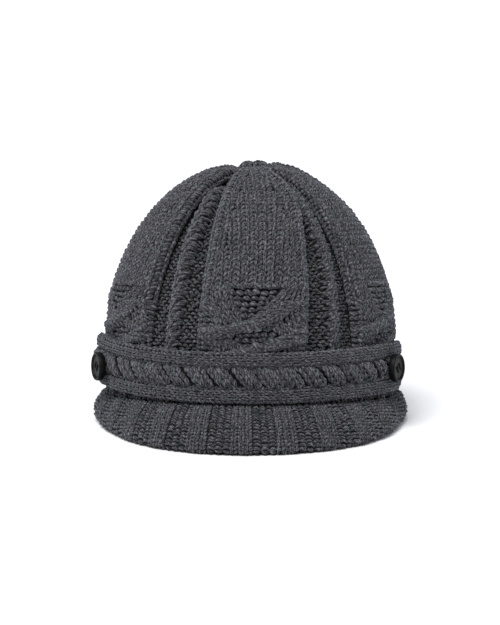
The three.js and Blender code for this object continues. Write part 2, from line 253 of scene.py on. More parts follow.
@dataclass
class Surface:
    """A knit face sampled on an even grid, to lay stitches on.

    Its places are s across and t along, in millimetres, and a height over the face.
    """

    point_at: Callable[[Array, Array], Array]
    s_range: tuple[float, float]
    t_range: tuple[float, float]
    step: float = 0.8

    def __post_init__(self) -> None:
        """Sample the face and its outward normals."""
        spans = (self.s_range, self.t_range)
        counts = [max(3, int((high - low) / self.step)) for low, high in spans]
        s, t = (np.linspace(*span, count) for span, count in zip(spans, counts))
        self.points = self.point_at(*np.meshgrid(s, t, indexing="ij"))
        across = np.gradient(self.points, axis=0)
        along = np.gradient(self.points, axis=1)
        normals = np.cross(across, along)
        lengths = np.linalg.norm(normals, axis=-1, keepdims=True)
        self.normals = normals / np.maximum(lengths, 1e-9)

    def lift(self, s: Array, t: Array, height: Array) -> Array:
        """Points at a height over the face, in millimetres.

        Args:
            s: Places across the face.
            t: Places along it.
            height: Height over it.

        Returns:
            Points in millimetres.
        """
        cells = []
        for value, span, count in ((s, self.s_range, self.points.shape[0]),
                                   (t, self.t_range, self.points.shape[1])):
            place = (np.asarray(value, float) - span[0]) / (span[1] - span[0]) * (count - 1)
            place = np.clip(place, 0.0, count - 1.0001)
            cells.append((np.floor(place).astype(int), (place - np.floor(place))[..., None]))
        (i, a), (j, b) = cells

        def blend(grid: Array) -> Array:
            """Blend the four corners round each place.

            Args:
                grid: Values of the samples.

            Returns:
                The value at each place.
            """
            low = grid[i, j] * (1 - a) + grid[i + 1, j] * a
            high = grid[i, j + 1] * (1 - a) + grid[i + 1, j + 1] * a
            return low * (1 - b) + high * b

        normal = blend(self.normals)
        normal /= np.maximum(np.linalg.norm(normal, axis=-1, keepdims=True), 1e-9)
        return blend(self.points) + normal * np.asarray(height, float)[..., None]


# Finishes


def linear(colour: str) -> tuple[float, float, float, float]:
    """Turn an sRGB hex colour into linear light.

    Args:
        colour: Hex colour with its hash.

    Returns:
        Red, green, blue and alpha.
    """
    parts = [int(colour[i:i + 2], 16) / 255 for i in (1, 3, 5)]
    light = [p / 12.92 if p <= 0.04045 else ((p + 0.055) / 1.055) ** 2.4 for p in parts]
    return (*light, 1.0)


def add_node(tree: bpy.types.NodeTree, kind: str, links: dict | None = None,
             sockets: dict | None = None, stops: tuple[tuple[float, str], ...] = (),
             **settings: object) -> bpy.types.Node:
    """Add a shader node with its settings and links.

    Args:
        tree: Node tree of the material or world.
        kind: Blender's name for the type of node.
        links: Output sockets by the name or number of the input that they feed.
        sockets: Plain values by the name or number of the input.
        stops: A place and an sRGB colour for each stop, where the node is a ramp.
        settings: Properties of the node.

    Returns:
        The new node.
    """
    node = tree.nodes.new(kind)
    for name, value in settings.items():
        setattr(node, name, value)
    for name, value in (sockets or {}).items():
        node.inputs[name].default_value = value
    for name, source in (links or {}).items():
        tree.links.new(source, node.inputs[name])
    if stops:
        elements = node.color_ramp.elements
        while len(elements) < len(stops):
            elements.new(0.5)
        for element, (place, colour) in zip(elements, stops):
            element.position, element.color = place, linear(colour)
    return node


def new_material(name: str) -> tuple[bpy.types.Material, bpy.types.NodeTree]:
    """Start an empty node material.

    Args:
        name: Name of the material.

    Returns:
        The material and its node tree.
    """
    material = bpy.data.materials.new(name)
    material.use_nodes = True
    material.node_tree.nodes.clear()
    return material, material.node_tree


def finish_surface(tree: bpy.types.NodeTree, links: dict, sockets: dict) -> None:
    """End a material with a Principled surface."""
    shader = add_node(tree, "ShaderNodeBsdfPrincipled", links, sockets)
    add_node(tree, "ShaderNodeOutputMaterial", {"Surface": shader.outputs["BSDF"]})


@dataclass(frozen=True)
class HeatherYarn:
    """Charcoal heather wool-blend yarn, spun of dark and pale grey fibres in three plies.

    The eye sees a soft grey with paler flecks a fibre bundle wide, a faint twist and a
    matt face with a little sheen from loose fibres.
    """

    name: str = "charcoal_heather_yarn"
    stops: tuple[tuple[float, str], ...] = ((0.3, "#121214"), (0.5, "#2c2c2f"), (0.71, "#75757b"))
    fleck_width_mm: float = 0.55
    fleck_length_mm: float = 2.6
    mottle_mm: float = 0.9
    ply_pitch_mm: float = 9.0
    plies: int = 3
    ply_shade: float = 0.13
    girth_mm: float = YARN_GIRTH
    fibre_height: float = 3.2
    bump_strength: float = 0.55
    bump_mm: float = 0.22
    roughness: float = 0.93
    gloss: float = 0.25
    sheen: float = 0.3
    sheen_roughness: float = 0.5
    sheen_tint: str = "#c9ccd6"

    def make(self) -> bpy.types.Material:
        """Build the material, which follows each stitch by its yarn_mm attribute.

        Returns:
            The material.
        """
        material, tree = new_material(self.name)
        yarn = add_node(tree, "ShaderNodeAttribute", attribute_name="yarn_mm")
        tone_and_painted_light = add_node(tree, "ShaderNodeAttribute", attribute_name="tone_and_painted_light")
        places = add_node(tree, "ShaderNodeTexCoord")

        # Flecks are drawn out along the yarn, and a fine mottling lies across the stitches
        along = add_node(tree, "ShaderNodeMapping", {"Vector": yarn.outputs["Vector"]}, {
            "Scale": (1 / self.fleck_width_mm, 1 / self.fleck_length_mm, 1.0)})
        flecks = add_node(tree, "ShaderNodeTexNoise", {"Vector": along.outputs["Vector"]}, {
            "Scale": 1.0, "Detail": 3.0, "Roughness": 0.65})
        mottle = add_node(tree, "ShaderNodeTexNoise", {"Vector": places.outputs["Object"]}, {
            "Scale": 1 / (self.mottle_mm * MM), "Detail": 2.0, "Roughness": 0.7})
        mixed = add_node(tree, "ShaderNodeMath", {
            0: flecks.outputs["Fac"], 1: mottle.outputs["Fac"]}, operation="ADD")
        # Add each run's random tone, which carries its painted light on top and painted shade
        # underneath and at its ends
        toned_and_painted_light = add_node(tree, "ShaderNodeMath", {
            0: mixed.outputs[0], 1: tone_and_painted_light.outputs["Fac"]}, operation="ADD")

        # Three plies wind round each other, with painted shade where they meet and painted light on
        # each ply, and fibres lie along them
        split = add_node(tree, "ShaderNodeSeparateXYZ", {"Vector": yarn.outputs["Vector"]})
        turn = add_node(tree, "ShaderNodeMath", {0: split.outputs["Y"]}, {
            1: self.girth_mm / self.ply_pitch_mm}, operation="MULTIPLY")
        around = add_node(tree, "ShaderNodeMath", {
            0: split.outputs["X"], 1: turn.outputs[0]}, operation="ADD")
        winding = add_node(tree, "ShaderNodeMath", {0: around.outputs[0]}, {
            1: self.plies * 2 * math.pi / self.girth_mm}, operation="MULTIPLY")
        plies = add_node(tree, "ShaderNodeMath", {0: winding.outputs[0]}, operation="SINE")
        shaded = add_node(tree, "ShaderNodeMath", {
            0: plies.outputs[0], 2: toned_and_painted_light.outputs[0]}, {1: self.ply_shade},
            operation="MULTIPLY_ADD")
        halved = add_node(tree, "ShaderNodeMath", {0: shaded.outputs[0]}, {1: 0.5},
                          operation="MULTIPLY")
        ramp = add_node(tree, "ShaderNodeValToRGB", {"Fac": halved.outputs[0]}, stops=self.stops)
        fibres = add_node(tree, "ShaderNodeMath", {
            0: flecks.outputs["Fac"], 2: plies.outputs[0]}, {1: self.fibre_height},
            operation="MULTIPLY_ADD")
        bump = add_node(tree, "ShaderNodeBump", {"Height": fibres.outputs[0]}, {
            "Strength": self.bump_strength, "Distance": self.bump_mm * MM})
        finish_surface(
            tree, {"Base Color": ramp.outputs["Color"], "Normal": bump.outputs["Normal"]}, {
                "Roughness": self.roughness, "Specular IOR Level": self.gloss,
                "Sheen Weight": self.sheen, "Sheen Roughness": self.sheen_roughness,
                "Sheen Tint": linear(self.sheen_tint)})
        return material


@dataclass(frozen=True)
class PlainFinish:
    """A finish with one noise on the piece's own places, for its bump and its colours.

    A single stop gives one colour all over.
    """

    name: str
    stops: tuple[tuple[float, str], ...]
    grain_mm: float
    detail: float
    bump_strength: float
    bump_mm: float
    roughness: float
    gloss: float
    noise_roughness: float = 0.6

    def make(self) -> bpy.types.Material:
        """Build the material.

        Returns:
            The material.
        """
        material, tree = new_material(self.name)
        places = add_node(tree, "ShaderNodeTexCoord")
        grain = add_node(tree, "ShaderNodeTexNoise", {"Vector": places.outputs["Object"]}, {
            "Scale": 1 / (self.grain_mm * MM), "Detail": self.detail,
            "Roughness": self.noise_roughness})
        bump = add_node(tree, "ShaderNodeBump", {"Height": grain.outputs["Fac"]}, {
            "Strength": self.bump_strength, "Distance": self.bump_mm * MM})
        links = {"Normal": bump.outputs["Normal"]}
        sockets = {"Roughness": self.roughness, "Specular IOR Level": self.gloss}
        if len(self.stops) == 1:
            sockets["Base Color"] = linear(self.stops[0][1])
        else:
            ramp = add_node(tree, "ShaderNodeValToRGB", {"Fac": grain.outputs["Fac"]},
                            stops=self.stops)
            links["Base Color"] = ramp.outputs["Color"]
        finish_surface(tree, links, sockets)
        return material


# Painted shade: the inner loops of the same yarn, coloured near black for the shade deep between
# the stitches
KNIT_GROUND_SHADE = PlainFinish("knit_ground_painted_shade", ((0.35, "#0a0a0b"), (0.7, "#1b1c1e")), grain_mm=2.6,
                          detail=4.0, bump_strength=0.8, bump_mm=1.2, roughness=0.95, gloss=0.2)
# Black polyester resin, moulded and tumbled: a soft gloss with faint scuffs
MOULDED_RESIN = PlainFinish("black_resin_button", ((0.4, "#070808"), (0.75, "#101112")),
                            grain_mm=1.8, detail=5.0, bump_strength=0.12, bump_mm=0.05,
                            roughness=0.45, gloss=0.12)
# Black polyester sewing thread, matt, with the twist of its strands
SEWING_THREAD = PlainFinish("black_sewing_thread", ((0.0, "#0b0b0c"),), grain_mm=0.5, detail=2.0,
                            bump_strength=0.5, bump_mm=0.1, roughness=0.8, gloss=0.2,
                            noise_roughness=0.5)


@dataclass(frozen=True)
class PaperFloor:
    """Matt white studio paper under and behind the cap."""

    name: str = "white_studio_paper"
    white: str = "#fbfbfc"

    def make(self) -> bpy.types.Material:
        """Build the material.

        Returns:
            The material.
        """
        material, tree = new_material(self.name)
        finish_surface(tree, {}, {"Base Color": linear(self.white), "Roughness": 0.9,
                                  "Specular IOR Level": 0.1})
        return material


# Stitches


class Leg(Enum):
    """The two legs of a knit stitch, by the side that each lies on."""

    LEFT = -1
    RIGHT = 1


@dataclass(frozen=True)
class Gauge:
    """The knit: sizes of its stitches and yarn in millimetres, and slants in degrees."""

    wale: float = 5.28
    row: float = 3.35
    lift: float = 1.7
    leg_length: float = 5.8
    leg_slant: float = 22.0
    leg_radius: float = 1.1
    leg_plump: float = 1.15
    crest: float = 0.72
    dive: float = 1.6
    crest_shift: float = 0.22
    purl_sag: float = 1.0
    purl_radius: float = 1.3
    purl_dive: float = 2.2
    purl_stray: float = 0.2
    # Strength of the painted light on top of each run of yarn and the painted shade under it and at
    # its ends
    crest_painted_light: float = 0.1
    arch: float = 1.35
    # A purl stitch: shares of its width and radius in its head and in its sinker
    head_share: float = 1.02
    sinker_share: float = 0.74
    sinker_radius: float = 0.82
    sinker_drop: float = 0.2
    # Loose fibres: lengths, bow, rise and how far the ends dive
    fibre_length: tuple[float, float] = (1.8, 4.6)
    fibre_aside: float = 1.0
    fibre_bow: float = 0.8
    fibre_rise: float = 1.0
    fibre_dive: tuple[float, float] = (-1.5, 0.4)
    # How much one stitch strays from the next
    stray_tone: float = 0.03
    stray_mm: float = 0.11
    stray_degrees: float = 2.8
    stray_share: float = 0.07


# Places of the rings along one run of yarn, from -1 to 1, and their thickness
RINGS = ((-0.88, 0.62), (-0.34, 1.0), (0.34, 1.0), (0.88, 0.62))
TIP = 1.12
SIDES = 6


def template() -> tuple[Array, Array, Array, list[tuple[int, ...]]]:
    """Shape that every run of yarn is made from.

    Returns:
        Places along it, thickness, angle round it, and faces, for rings and two tips.
    """
    along, thick, around = [-TIP], [0.0], [0.0]
    for place, share in RINGS:
        for side in range(SIDES):
            along.append(place)
            thick.append(share)
            around.append(2 * math.pi * side / SIDES - math.pi / 2)
    along.append(TIP)
    thick.append(0.0)
    around.append(0.0)
    faces: list[tuple[int, ...]] = []
    last = len(along) - 1
    for side in range(SIDES):
        after = (side + 1) % SIDES
        faces.append((0, 1 + after, 1 + side))
        for ring in range(len(RINGS) - 1):
            low, high = 1 + ring * SIDES, 1 + (ring + 1) * SIDES
            faces.append((low + side, low + after, high + after, high + side))
        end = 1 + (len(RINGS) - 1) * SIDES
        faces.append((end + side, end + after, last))
    return np.array(along), np.array(thick), np.array(around), faces


@dataclass
class StitchField:
    """Stitches laid on one face, and the mesh that they become."""

    surface: Surface
    gauge: Gauge
    seed: int
    opening: float = 1.0
    rows: list[Array] = field(default_factory=list)

    def __post_init__(self) -> None:
        """Start the field's own run of small differences."""
        self.random = np.random.default_rng(self.seed)

    def add(self, s: Array, t: Array, turn: Array, length: Array, radius: Array,
            sag: Array = 0.0, lift: Array = 0.0, dive: Array | None = None) -> None:
        """Lay runs of yarn.

        Args:
            s: Middle of each run across the face.
            t: Middle of each run along the face.
            turn: Radians from the way along the face towards the way across it.
            length: Length of the run.
            radius: Half the width of the yarn.
            sag: How far the middle of the run bows, towards -t for a run turned across.
            lift: Extra height over the face.
            dive: How much lower the ends are than the middle.
        """
        dive = self.gauge.dive if dive is None else dive
        values = np.broadcast_arrays(*(np.asarray(v, float).ravel() for v in (
            s, t, turn, length, radius, sag, lift, dive)))
        self.rows.append(np.stack(values, axis=-1))

    def knit(self, s: Array, t: Array, turn: Array, width: Array, lift: Array = 0.0,
             row: float | None = None, slant: float | None = None) -> None:
        """Lay knit stitches, each two legs that open upwards along the turn.

        Args:
            s: Middle of each stitch across the face.
            t: Middle of each along the face.
            turn: Radians from the way along towards the way across.
            width: Width of the wale.
            lift: Extra height over the face.
            row: Height of a row, if not the gauge's.
            slant: Degrees of a leg's slant, if not the gauge's.
        """
        gauge = self.gauge
        s, t, turn, width, lift = np.broadcast_arrays(*(np.asarray(v, float).ravel() for v in (
            s, t, turn, width, lift)))
        length = gauge.leg_length * (1.0 if row is None else row / gauge.row)
        for leg in (Leg.LEFT, Leg.RIGHT):
            aside = leg.value * width / 4
            lean = gauge.leg_slant if slant is None else slant
            lean = leg.value * math.radians(lean) * self.opening
            self.add(s + aside * np.cos(turn), t - aside * np.sin(turn), turn + lean,
                     length, np.minimum(gauge.leg_radius, width / 4), lift=lift)

    def purl(self, s: Array, t: Array, turn: Array, width: Array, lift: Array = 0.0,
             sinkers: bool = True, sag: float = 1.0, plump: float = 1.0,
             dive: float | None = None) -> None:
        """Lay purl stitches, each a loop's head over half of the loop below it.

        Args:
            s: Middle of each stitch across the face.
            t: Middle of each along the face.
            turn: Radians from the way along towards the way across.
            width: Width of the wale.
            lift: Extra height over the face.
            sinkers: Whether the loop below shows.
            sag: Share of the gauge's bow.
            plump: Share of the gauge's thickness.
            dive: How much lower the ends are, if not the gauge's.
        """
        gauge = self.gauge
        s, t, turn, width, lift = np.broadcast_arrays(*(np.asarray(v, float).ravel() for v in (
            s, t, turn, width, lift)))
        across = turn + math.pi / 2 + self.random.normal(0, gauge.purl_stray, len(s))
        bow = -gauge.purl_sag * sag * self.random.uniform(0.5, 1.3, len(s))
        self.add(s, t, across, width * gauge.head_share, gauge.purl_radius * plump, bow, lift,
                 gauge.purl_dive if dive is None else dive)
        if sinkers:
            half = gauge.row / 2
            s_low = s + np.cos(turn) * width / 2 + np.sin(turn) * half
            t_low = t - np.sin(turn) * width / 2 + np.cos(turn) * half
            self.add(s_low, t_low, across, width * gauge.sinker_share,
                     gauge.purl_radius * gauge.sinker_radius, gauge.purl_sag,
                     lift - gauge.sinker_drop)

    def fluff(self, share: float) -> None:
        """Let fine fibres stand off some of the stitches, with both ends in the air.

        Args:
            share: Fibres for each run of yarn laid so far.
        """
        gauge, runs = self.gauge, np.concatenate(self.rows)
        picked = runs[self.random.integers(0, len(runs), int(len(runs) * share))]
        count = len(picked)
        self.add(picked[:, 0] + self.random.normal(0, gauge.fibre_aside, count), picked[:, 1],
                 self.random.uniform(0, 2 * math.pi, count),
                 self.random.uniform(*gauge.fibre_length, count), FIBRE_RADIUS,
                 self.random.normal(0, gauge.fibre_bow, count), gauge.fibre_rise + picked[:, 6],
                 self.random.uniform(*gauge.fibre_dive, count))

    def mesh(self, name: str, material: bpy.types.Material) -> bpy.types.Object:
        """Turn the runs of yarn into one mesh that rides on the cap.

        Args:
            name: Name of the piece.
            material: Finish of the yarn.

        Returns:
            The new object, with the yarn's own places, and its random tone with painted light and
            shade, as attributes.
        """
        gauge, random = self.gauge, self.random
        s, t, turn, length, radius, sag, lift, dive = np.concatenate(self.rows).T
        count = len(s)
        s = s + random.normal(0, gauge.stray_mm, count)
        t = t + random.normal(0, gauge.stray_mm, count)
        turn = turn + np.radians(random.normal(0, gauge.stray_degrees, count))
        radius = radius * (1 + random.normal(0, gauge.stray_share, count))
        lift = lift + random.normal(0, gauge.stray_mm, count)
        along, thick, around, faces = template()
        b = along * length[:, None] / 2
        a = sag[:, None] * (1 - along ** 2) + thick * radius[:, None] * np.cos(around)
        plump = radius * gauge.leg_plump / gauge.leg_radius
        arch = ((along - gauge.crest_shift) / (1 + abs(gauge.crest_shift))) ** 2 * gauge.arch
        h = gauge.crest + lift[:, None] - dive[:, None] * arch
        h = h + thick * plump[:, None] * np.sin(around)
        cos, sin = np.cos(turn)[:, None], np.sin(turn)[:, None]
        points = self.surface.lift(s[:, None] + a * cos + b * sin,
                                   t[:, None] - a * sin + b * cos, h)
        # Yarn that rests on the table is pressed flat against it
        points[..., 2] = np.maximum(points[..., 2], 0.0)
        each = len(along)
        loops = np.array([corner for face in faces for corner in face])
        sizes = np.array([len(face) for face in faces])
        starts = (np.arange(count) * each)[:, None]
        mesh = mesh_from(name, points.reshape(-1, 3), (loops + starts).ravel(),
                         np.tile(sizes, count))
        yarn = np.stack([np.broadcast_to(around / (2 * math.pi) * YARN_GIRTH, (count, each)),
                         b + random.uniform(0, YARN_SPREAD, count)[:, None],
                         np.broadcast_to(random.uniform(0, YARN_SPREAD, count)[:, None],
                                         (count, each))], -1)
        # Painted light on the outward top of each run and painted shade on its underside and
        # towards its ends, where it dives under the next stitch, added to each run's random tone
        lit = gauge.crest_painted_light * (thick * np.sin(around) - 0.6 * np.abs(along))
        tone_and_painted_light = (random.normal(0, gauge.stray_tone, count)[:, None] + lit).ravel()
        mesh.attributes.new("yarn_mm", "FLOAT_VECTOR", "POINT").data.foreach_set(
            "vector", yarn.astype(np.float32).ravel())
        mesh.attributes.new("tone_and_painted_light", "FLOAT", "POINT").data.foreach_set(
            "value", tone_and_painted_light.astype(np.float32))
        mesh.materials.append(material)
        stitches = bpy.data.objects.new(name, mesh)
        bpy.context.scene.collection.objects.link(stitches)
        return ride_as_knit(stitches)


def mesh_from(name: str, points: Array, corners: Array, sizes: Array) -> bpy.types.Mesh:
    """Make a smooth mesh of points in millimetres and faces given by their corners.

    Args:
        name: Name of the mesh.
        points: Places in millimetres.
        corners: Points round each face, face after face.
        sizes: Number of corners of each face.

    Returns:
        The mesh.
    """
    mesh = bpy.data.meshes.new(name)
    mesh.vertices.add(len(points))
    mesh.vertices.foreach_set("co", (points * MM).astype(np.float32).ravel())
    mesh.loops.add(len(corners))
    mesh.loops.foreach_set("vertex_index", corners.astype(np.int32))
    mesh.polygons.add(len(sizes))
    starts = np.concatenate([[0], np.cumsum(sizes)[:-1]])
    mesh.polygons.foreach_set("loop_start", starts.astype(np.int32))
    mesh.polygons.foreach_set("loop_total", sizes.astype(np.int32))
    mesh.polygons.foreach_set("use_smooth", np.ones(len(sizes), bool))
    mesh.update(calc_edges=True)
    return mesh


def ride_as_knit(piece: bpy.types.Object) -> bpy.types.Object:
    """Let a knit piece ride on the cap.

    Args:
        piece: Ground or stitches.

    Returns:
        The same piece.
    """
    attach(piece, "root")
    return piece


def deselect() -> None:
    """Leave nothing selected."""
    bpy.ops.object.select_all(action="DESELECT")


def lay_ground(name: str, points: Array, material: bpy.types.Material) -> bpy.types.Object:
    """Lay a grid of fabric round a piece and close it.

    Args:
        name: Name of the piece.
        points: Grid of places in millimetres. Its second way round closes on itself, and
            its first is closed by faces where its ends are apart.
        material: Finish of the fabric.

    Returns:
        The closed ground.
    """
    rows, columns = points.shape[:2]
    deselect()
    bpy.ops.mesh.primitive_grid_add(x_subdivisions=rows - 1, y_subdivisions=columns - 1)
    ground = bpy.context.active_object
    ground.name = ground.data.name = name
    # The primitive's points run along x first
    laid = points.transpose(1, 0, 2).reshape(-1, 3) * MM
    ground.data.vertices.foreach_set("co", laid.astype(np.float32).ravel())
    bpy.ops.object.mode_set(mode="EDIT")
    bpy.ops.mesh.select_all(action="SELECT")
    bpy.ops.mesh.remove_doubles(threshold=0.01 * MM)
    bpy.ops.mesh.fill_holes(sides=0)
    bpy.ops.mesh.delete_loose(use_verts=True, use_edges=True, use_faces=False)
    bpy.ops.mesh.select_all(action="SELECT")
    bpy.ops.mesh.normals_make_consistent(inside=False)
    bpy.ops.object.mode_set(mode="OBJECT")
    ground.data.update()
    ground.data.polygons.foreach_set("use_smooth", np.ones(len(ground.data.polygons), bool))
    ground.data.materials.append(material)
    return ride_as_knit(ground)


@dataclass
class Knitter:
    """What every knit piece is made with."""

    form: CapForm
    gauge: Gauge
    yarn: bpy.types.Material
    # Finish of the grounds, coloured near black as painted shade between the stitches
    ground: bpy.types.Material


# Crown


@dataclass
class Crown:
    """Six leaf-shaped cable panels with a sunken purl recess and a twisted rib between."""

    knitter: Knitter
    wall: float = 5.0
    panel_roll: float = 4.0
    roll_end: float = 2.0
    fold_depth: float = 2.2
    rib_half_width: float = 4.0
    rib_top: float = 68.0
    twist_pitch: float = 6.7
    twist_swing: float = 1.3
    crossings: tuple[float, ...] = (34.0, 16.6, -0.8)
    wedge_top: float = 56.0
    front_lobe: float = 5.0
    lobe_rise: float = 58.0
    front_dip: float = 1.5
    dip_turn: float = 0.8
    border_rise: float = 1.5
    panel_wale: float = 4.7
    purl_sink: float = 1.6
    strand_swell: float = 1.9
    over_rise: float = 1.7
    under_sink: float = 1.6
    edge_ease: float = 9.0
    # Share of the roll that counts to the panel's edge, and how flat the panel's puff is
    roll_edge: float = 0.57
    puff_power: float = 3.3
    # The rib between the recesses: where its flank starts and ends, and how high it stands
    rib_flank: tuple[float, float] = (0.55, 1.25)
    rib_drop: float = 1.2
    rib_wale: float = 4.3
    rib_row: float = 3.9
    wedge_ease: float = 8.0
    side_cable: float = 0.7
    # The cap bulges above the strap's left end: height, angle and length from the seam
    left_bulge: float = 3.5
    bulge_at: tuple[float, float] = (-92.0, 17.0)
    bulge_reach: tuple[float, float] = (24.0, 11.0)
    strap_overlap: float = 11.0
    strand_wales: int = 4
    strand_inset: float = 1.1
    strand_width: float = 33.0
    slide_in: float = 11.0
    slide_out: float = 4.0
    crossing_reach: float = 17.0
    # The lower strand is laid to this far below and above the middle of a crossing
    under_ends: tuple[float, float] = (4.0, 14.0)
    strand_least: float = 3.0
    strand_wale_range: tuple[float, float] = (3.5, 6.2)
    strand_slant: float = 15.0
    # Purl in the notches beside a crossing: from and to, places from the edge, and lift
    notch_span: tuple[float, float] = (-6.0, 13.0)
    notch_wales: tuple[float, ...] = (2.0, 6.2, 10.4)
    notch_lift: float = -0.4
    purl_wale: float = 4.3
    purl_row: float = 2.35
    purl_tilt: float = 0.3
    purl_plump: float = 0.74
    purl_dive: float = 1.8
    wedge_plump: float = 1.28
    wedge_dive: float = 1.5
    panel_fluff: float = 0.13
    recess_fluff: float = 0.1

    # How far the front is turned: angle from the front, and degrees of turn
    TURNED = ((-70, 0), (-45, -0.8), (-30, -1), (-20, 0), (0, 2), (20, 4.4), (30, 6.4), (41, 4.9),
              (60, 2.4), (80, 0.6), (100, 0))

    # Upper strand of a crossing, which runs down to the left: the way above (+) or below
    # (-) the crossing, then its left and right edges. PAST is beyond the panel's edge.
    PAST = 99.0
    OVER_LONG = ((22, 14.2, PAST), (18, 11.5, PAST), (13, 8, PAST), (10.7, 6, 27.5), (8.8, 4.6, 23),
                 (3.3, 0, 16.5), (0.5, -3.2, 11), (-1, -8, 8), (-2.6, -14, 5), (-4.2, -20, -1.5),
                 (-6, -PAST, -10), (-9, -PAST, -16))
    OVER_SHORT = ((8.4, 14.8, PAST), (6.5, 11.5, PAST), (5, 7.5, 26), (3, 2, 20), (1.6, -2, 16),
                  (0, -8, 9), (-1.6, -14, 3), (-3.2, -21, -3), (-5, -PAST, -9.5),
                  (-9, -PAST, -16))
    # Lower strand: the way, then how far its inner edge is left of the middle before it
    # dives, and right of the middle where it comes out again
    UNDER_LONG = ((22, 14.5, -30), (19.3, 13.6, -28), (11, 9.6, -20), (2.7, 4.6, -7), (0, 1.6, -2),
                  (-2.4, -6, 5.6), (-5.5, -16, 12), (-9, -28, 14.8))
    UNDER_SHORT = ((8.4, 16, -30), (5.6, 10.5, -20), (2.4, 3, -8), (1, 0, -3), (-1.5, -6, 2.6),
                   (-5.5, -16, 11), (-9, -28, 14.8))

    def __post_init__(self) -> None:
        """Measure the crown and set its crossings by length from the seam."""
        self.form = self.knitter.form
        self.gauge = self.knitter.gauge
        self.line = Meridian(self.form)
        self.top_length = float(np.interp(math.radians(86.5), self.line.rises, self.line.lengths))

    def panel_half(self, along: Array) -> Array:
        """Half the width of a panel."""
        share = self.form.share("panel", self.line.rise(along))
        return share * self.form.sector / 2 * self.line.radius(along)

    def sector_half(self, along: Array) -> Array:
        """Half the width of a whole sector."""
        return self.form.sector / 2 * self.line.radius(along)

    def point(self, centre: float, aside: Array, along: Array, relief: Array) -> Array:
        """Place on the crown.

        Args:
            centre: Angle of the line that aside is measured from.
            aside: Millimetres to the side of that line.
            along: Length from the seam.
            relief: Height over the plain crown.

        Returns:
            Points in millimetres.
        """
        form = self.form
        rise = self.line.rise(along)
        plain = centre + aside / self.line.radius(along)
        leaning = np.radians(form.panel_value(plain, 0)) * np.sin(2 * rise)
        angle = plain + leaning + self.turned(plain)
        crest = form.recess_depth * form.panel_value(plain, 2) * form.share("crest", rise)
        full = form.back_fullness * np.maximum(0, -np.cos(plain)) * form.share("fullness", rise)
        front = np.degrees(np.mod(plain + math.pi, 2 * math.pi) - math.pi)
        bulge = (self.left_bulge * bell(front, self.bulge_at[0], self.bulge_reach[0])
                 * bell(along, self.bulge_at[1], self.bulge_reach[1]))
        out = relief + crest + full + bulge
        height = self.line.height(along) + out * np.sin(rise)
        height = height - form.gather_dip * form.share("dip", rise)
        near_top = smoothstep(np.degrees(rise), 60.0, 80.0)
        height = height - self.front_dip * near_top * np.cos(plain + self.dip_turn)
        return form.place(angle, height, out * np.cos(rise), np.cos(rise))

    def turned(self, plain: Array) -> Array:
        """How far the front of the crown is turned from its even layout, in radians.

        Args:
            plain: Radians from the front in the even layout.

        Returns:
            Radians of turn.
        """
        rows = np.array(self.TURNED, float)
        front = np.degrees(np.mod(plain + math.pi, 2 * math.pi) - math.pi)
        return np.radians(np.interp(front, rows[:, 0], rows[:, 1]))

    def puff(self, angle: Array, along: Array) -> Array:
        """How far a panel stands out there.

        Args:
            angle: Radians from the front.
            along: Length from the seam.

        Returns:
            Millimetres over the plain crown.
        """
        form = self.form
        front = np.mod(angle + math.pi, 2 * math.pi) - math.pi
        free = form.straight + form.strap_climb(front)
        risen = smoothstep((self.line.height(along) - free) / form.puff_height, 0.0, 1.0)
        return (form.recess_depth * form.panel_value(angle, 1)
                * form.share("puff", self.line.rise(along)) * risen)

    def panel_roll_at(self, half: Array) -> Array:
        """Radius of the panel's rolled edge."""
        return np.minimum(self.panel_roll, half * 0.5)

    def panel_end(self, along: Array) -> Array:
        """Way across a panel from its middle to the end of its rolled edge.

        Args:
            along: Length from the seam.

        Returns:
            Millimetres over the panel.
        """
        half = self.panel_half(along)
        roll = self.panel_roll_at(half)
        return half - roll + roll * self.roll_end

    def panel_point(self, sector: int, across: Array, along: Array, inset: float) -> Array:
        """Place on a panel, by the way across it over its rolled edges.

        Args:
            sector: Number of the panel.
            across: Way over the panel.
            along: Length from the seam.
            inset: How far inside the outer face.

        Returns:
            Points in millimetres.
        """
        half = self.panel_half(along)
        roll = self.panel_roll_at(half)
        flat = half - roll
        bend = np.clip((np.abs(across) - flat) / roll, 0.0, self.roll_end)
        aside = np.sign(across) * (np.minimum(np.abs(across), flat) + roll * np.sin(bend))
        if sector == 0:
            upper = bell(np.degrees(self.line.rise(along)), self.lobe_rise, 30.0)
            aside = aside + self.front_lobe * upper * smoothstep(across / half, 0.0, 1.0)
        centre = sector * self.form.sector
        angle = centre + aside / self.line.radius(along)
        swell = 1 - np.minimum(1.0, np.abs(across) / half) ** self.puff_power
        fade = self.form.share("recess", self.line.rise(along)) / 1.1
        drop = roll * (1 - np.cos(bend)) * np.minimum(1.0, fade)
        relief = self.puff(angle, along) * swell - drop - inset
        border = bell(np.abs(across), self.edge(along) - self.panel_wale, self.panel_wale * 0.9)
        cable = self.cable_relief(across, along) * (1.0 if sector == 0 else self.side_cable)
        relief = relief + cable + self.border_rise * border * np.minimum(1, fade)
        return self.point(centre, aside, along, relief)

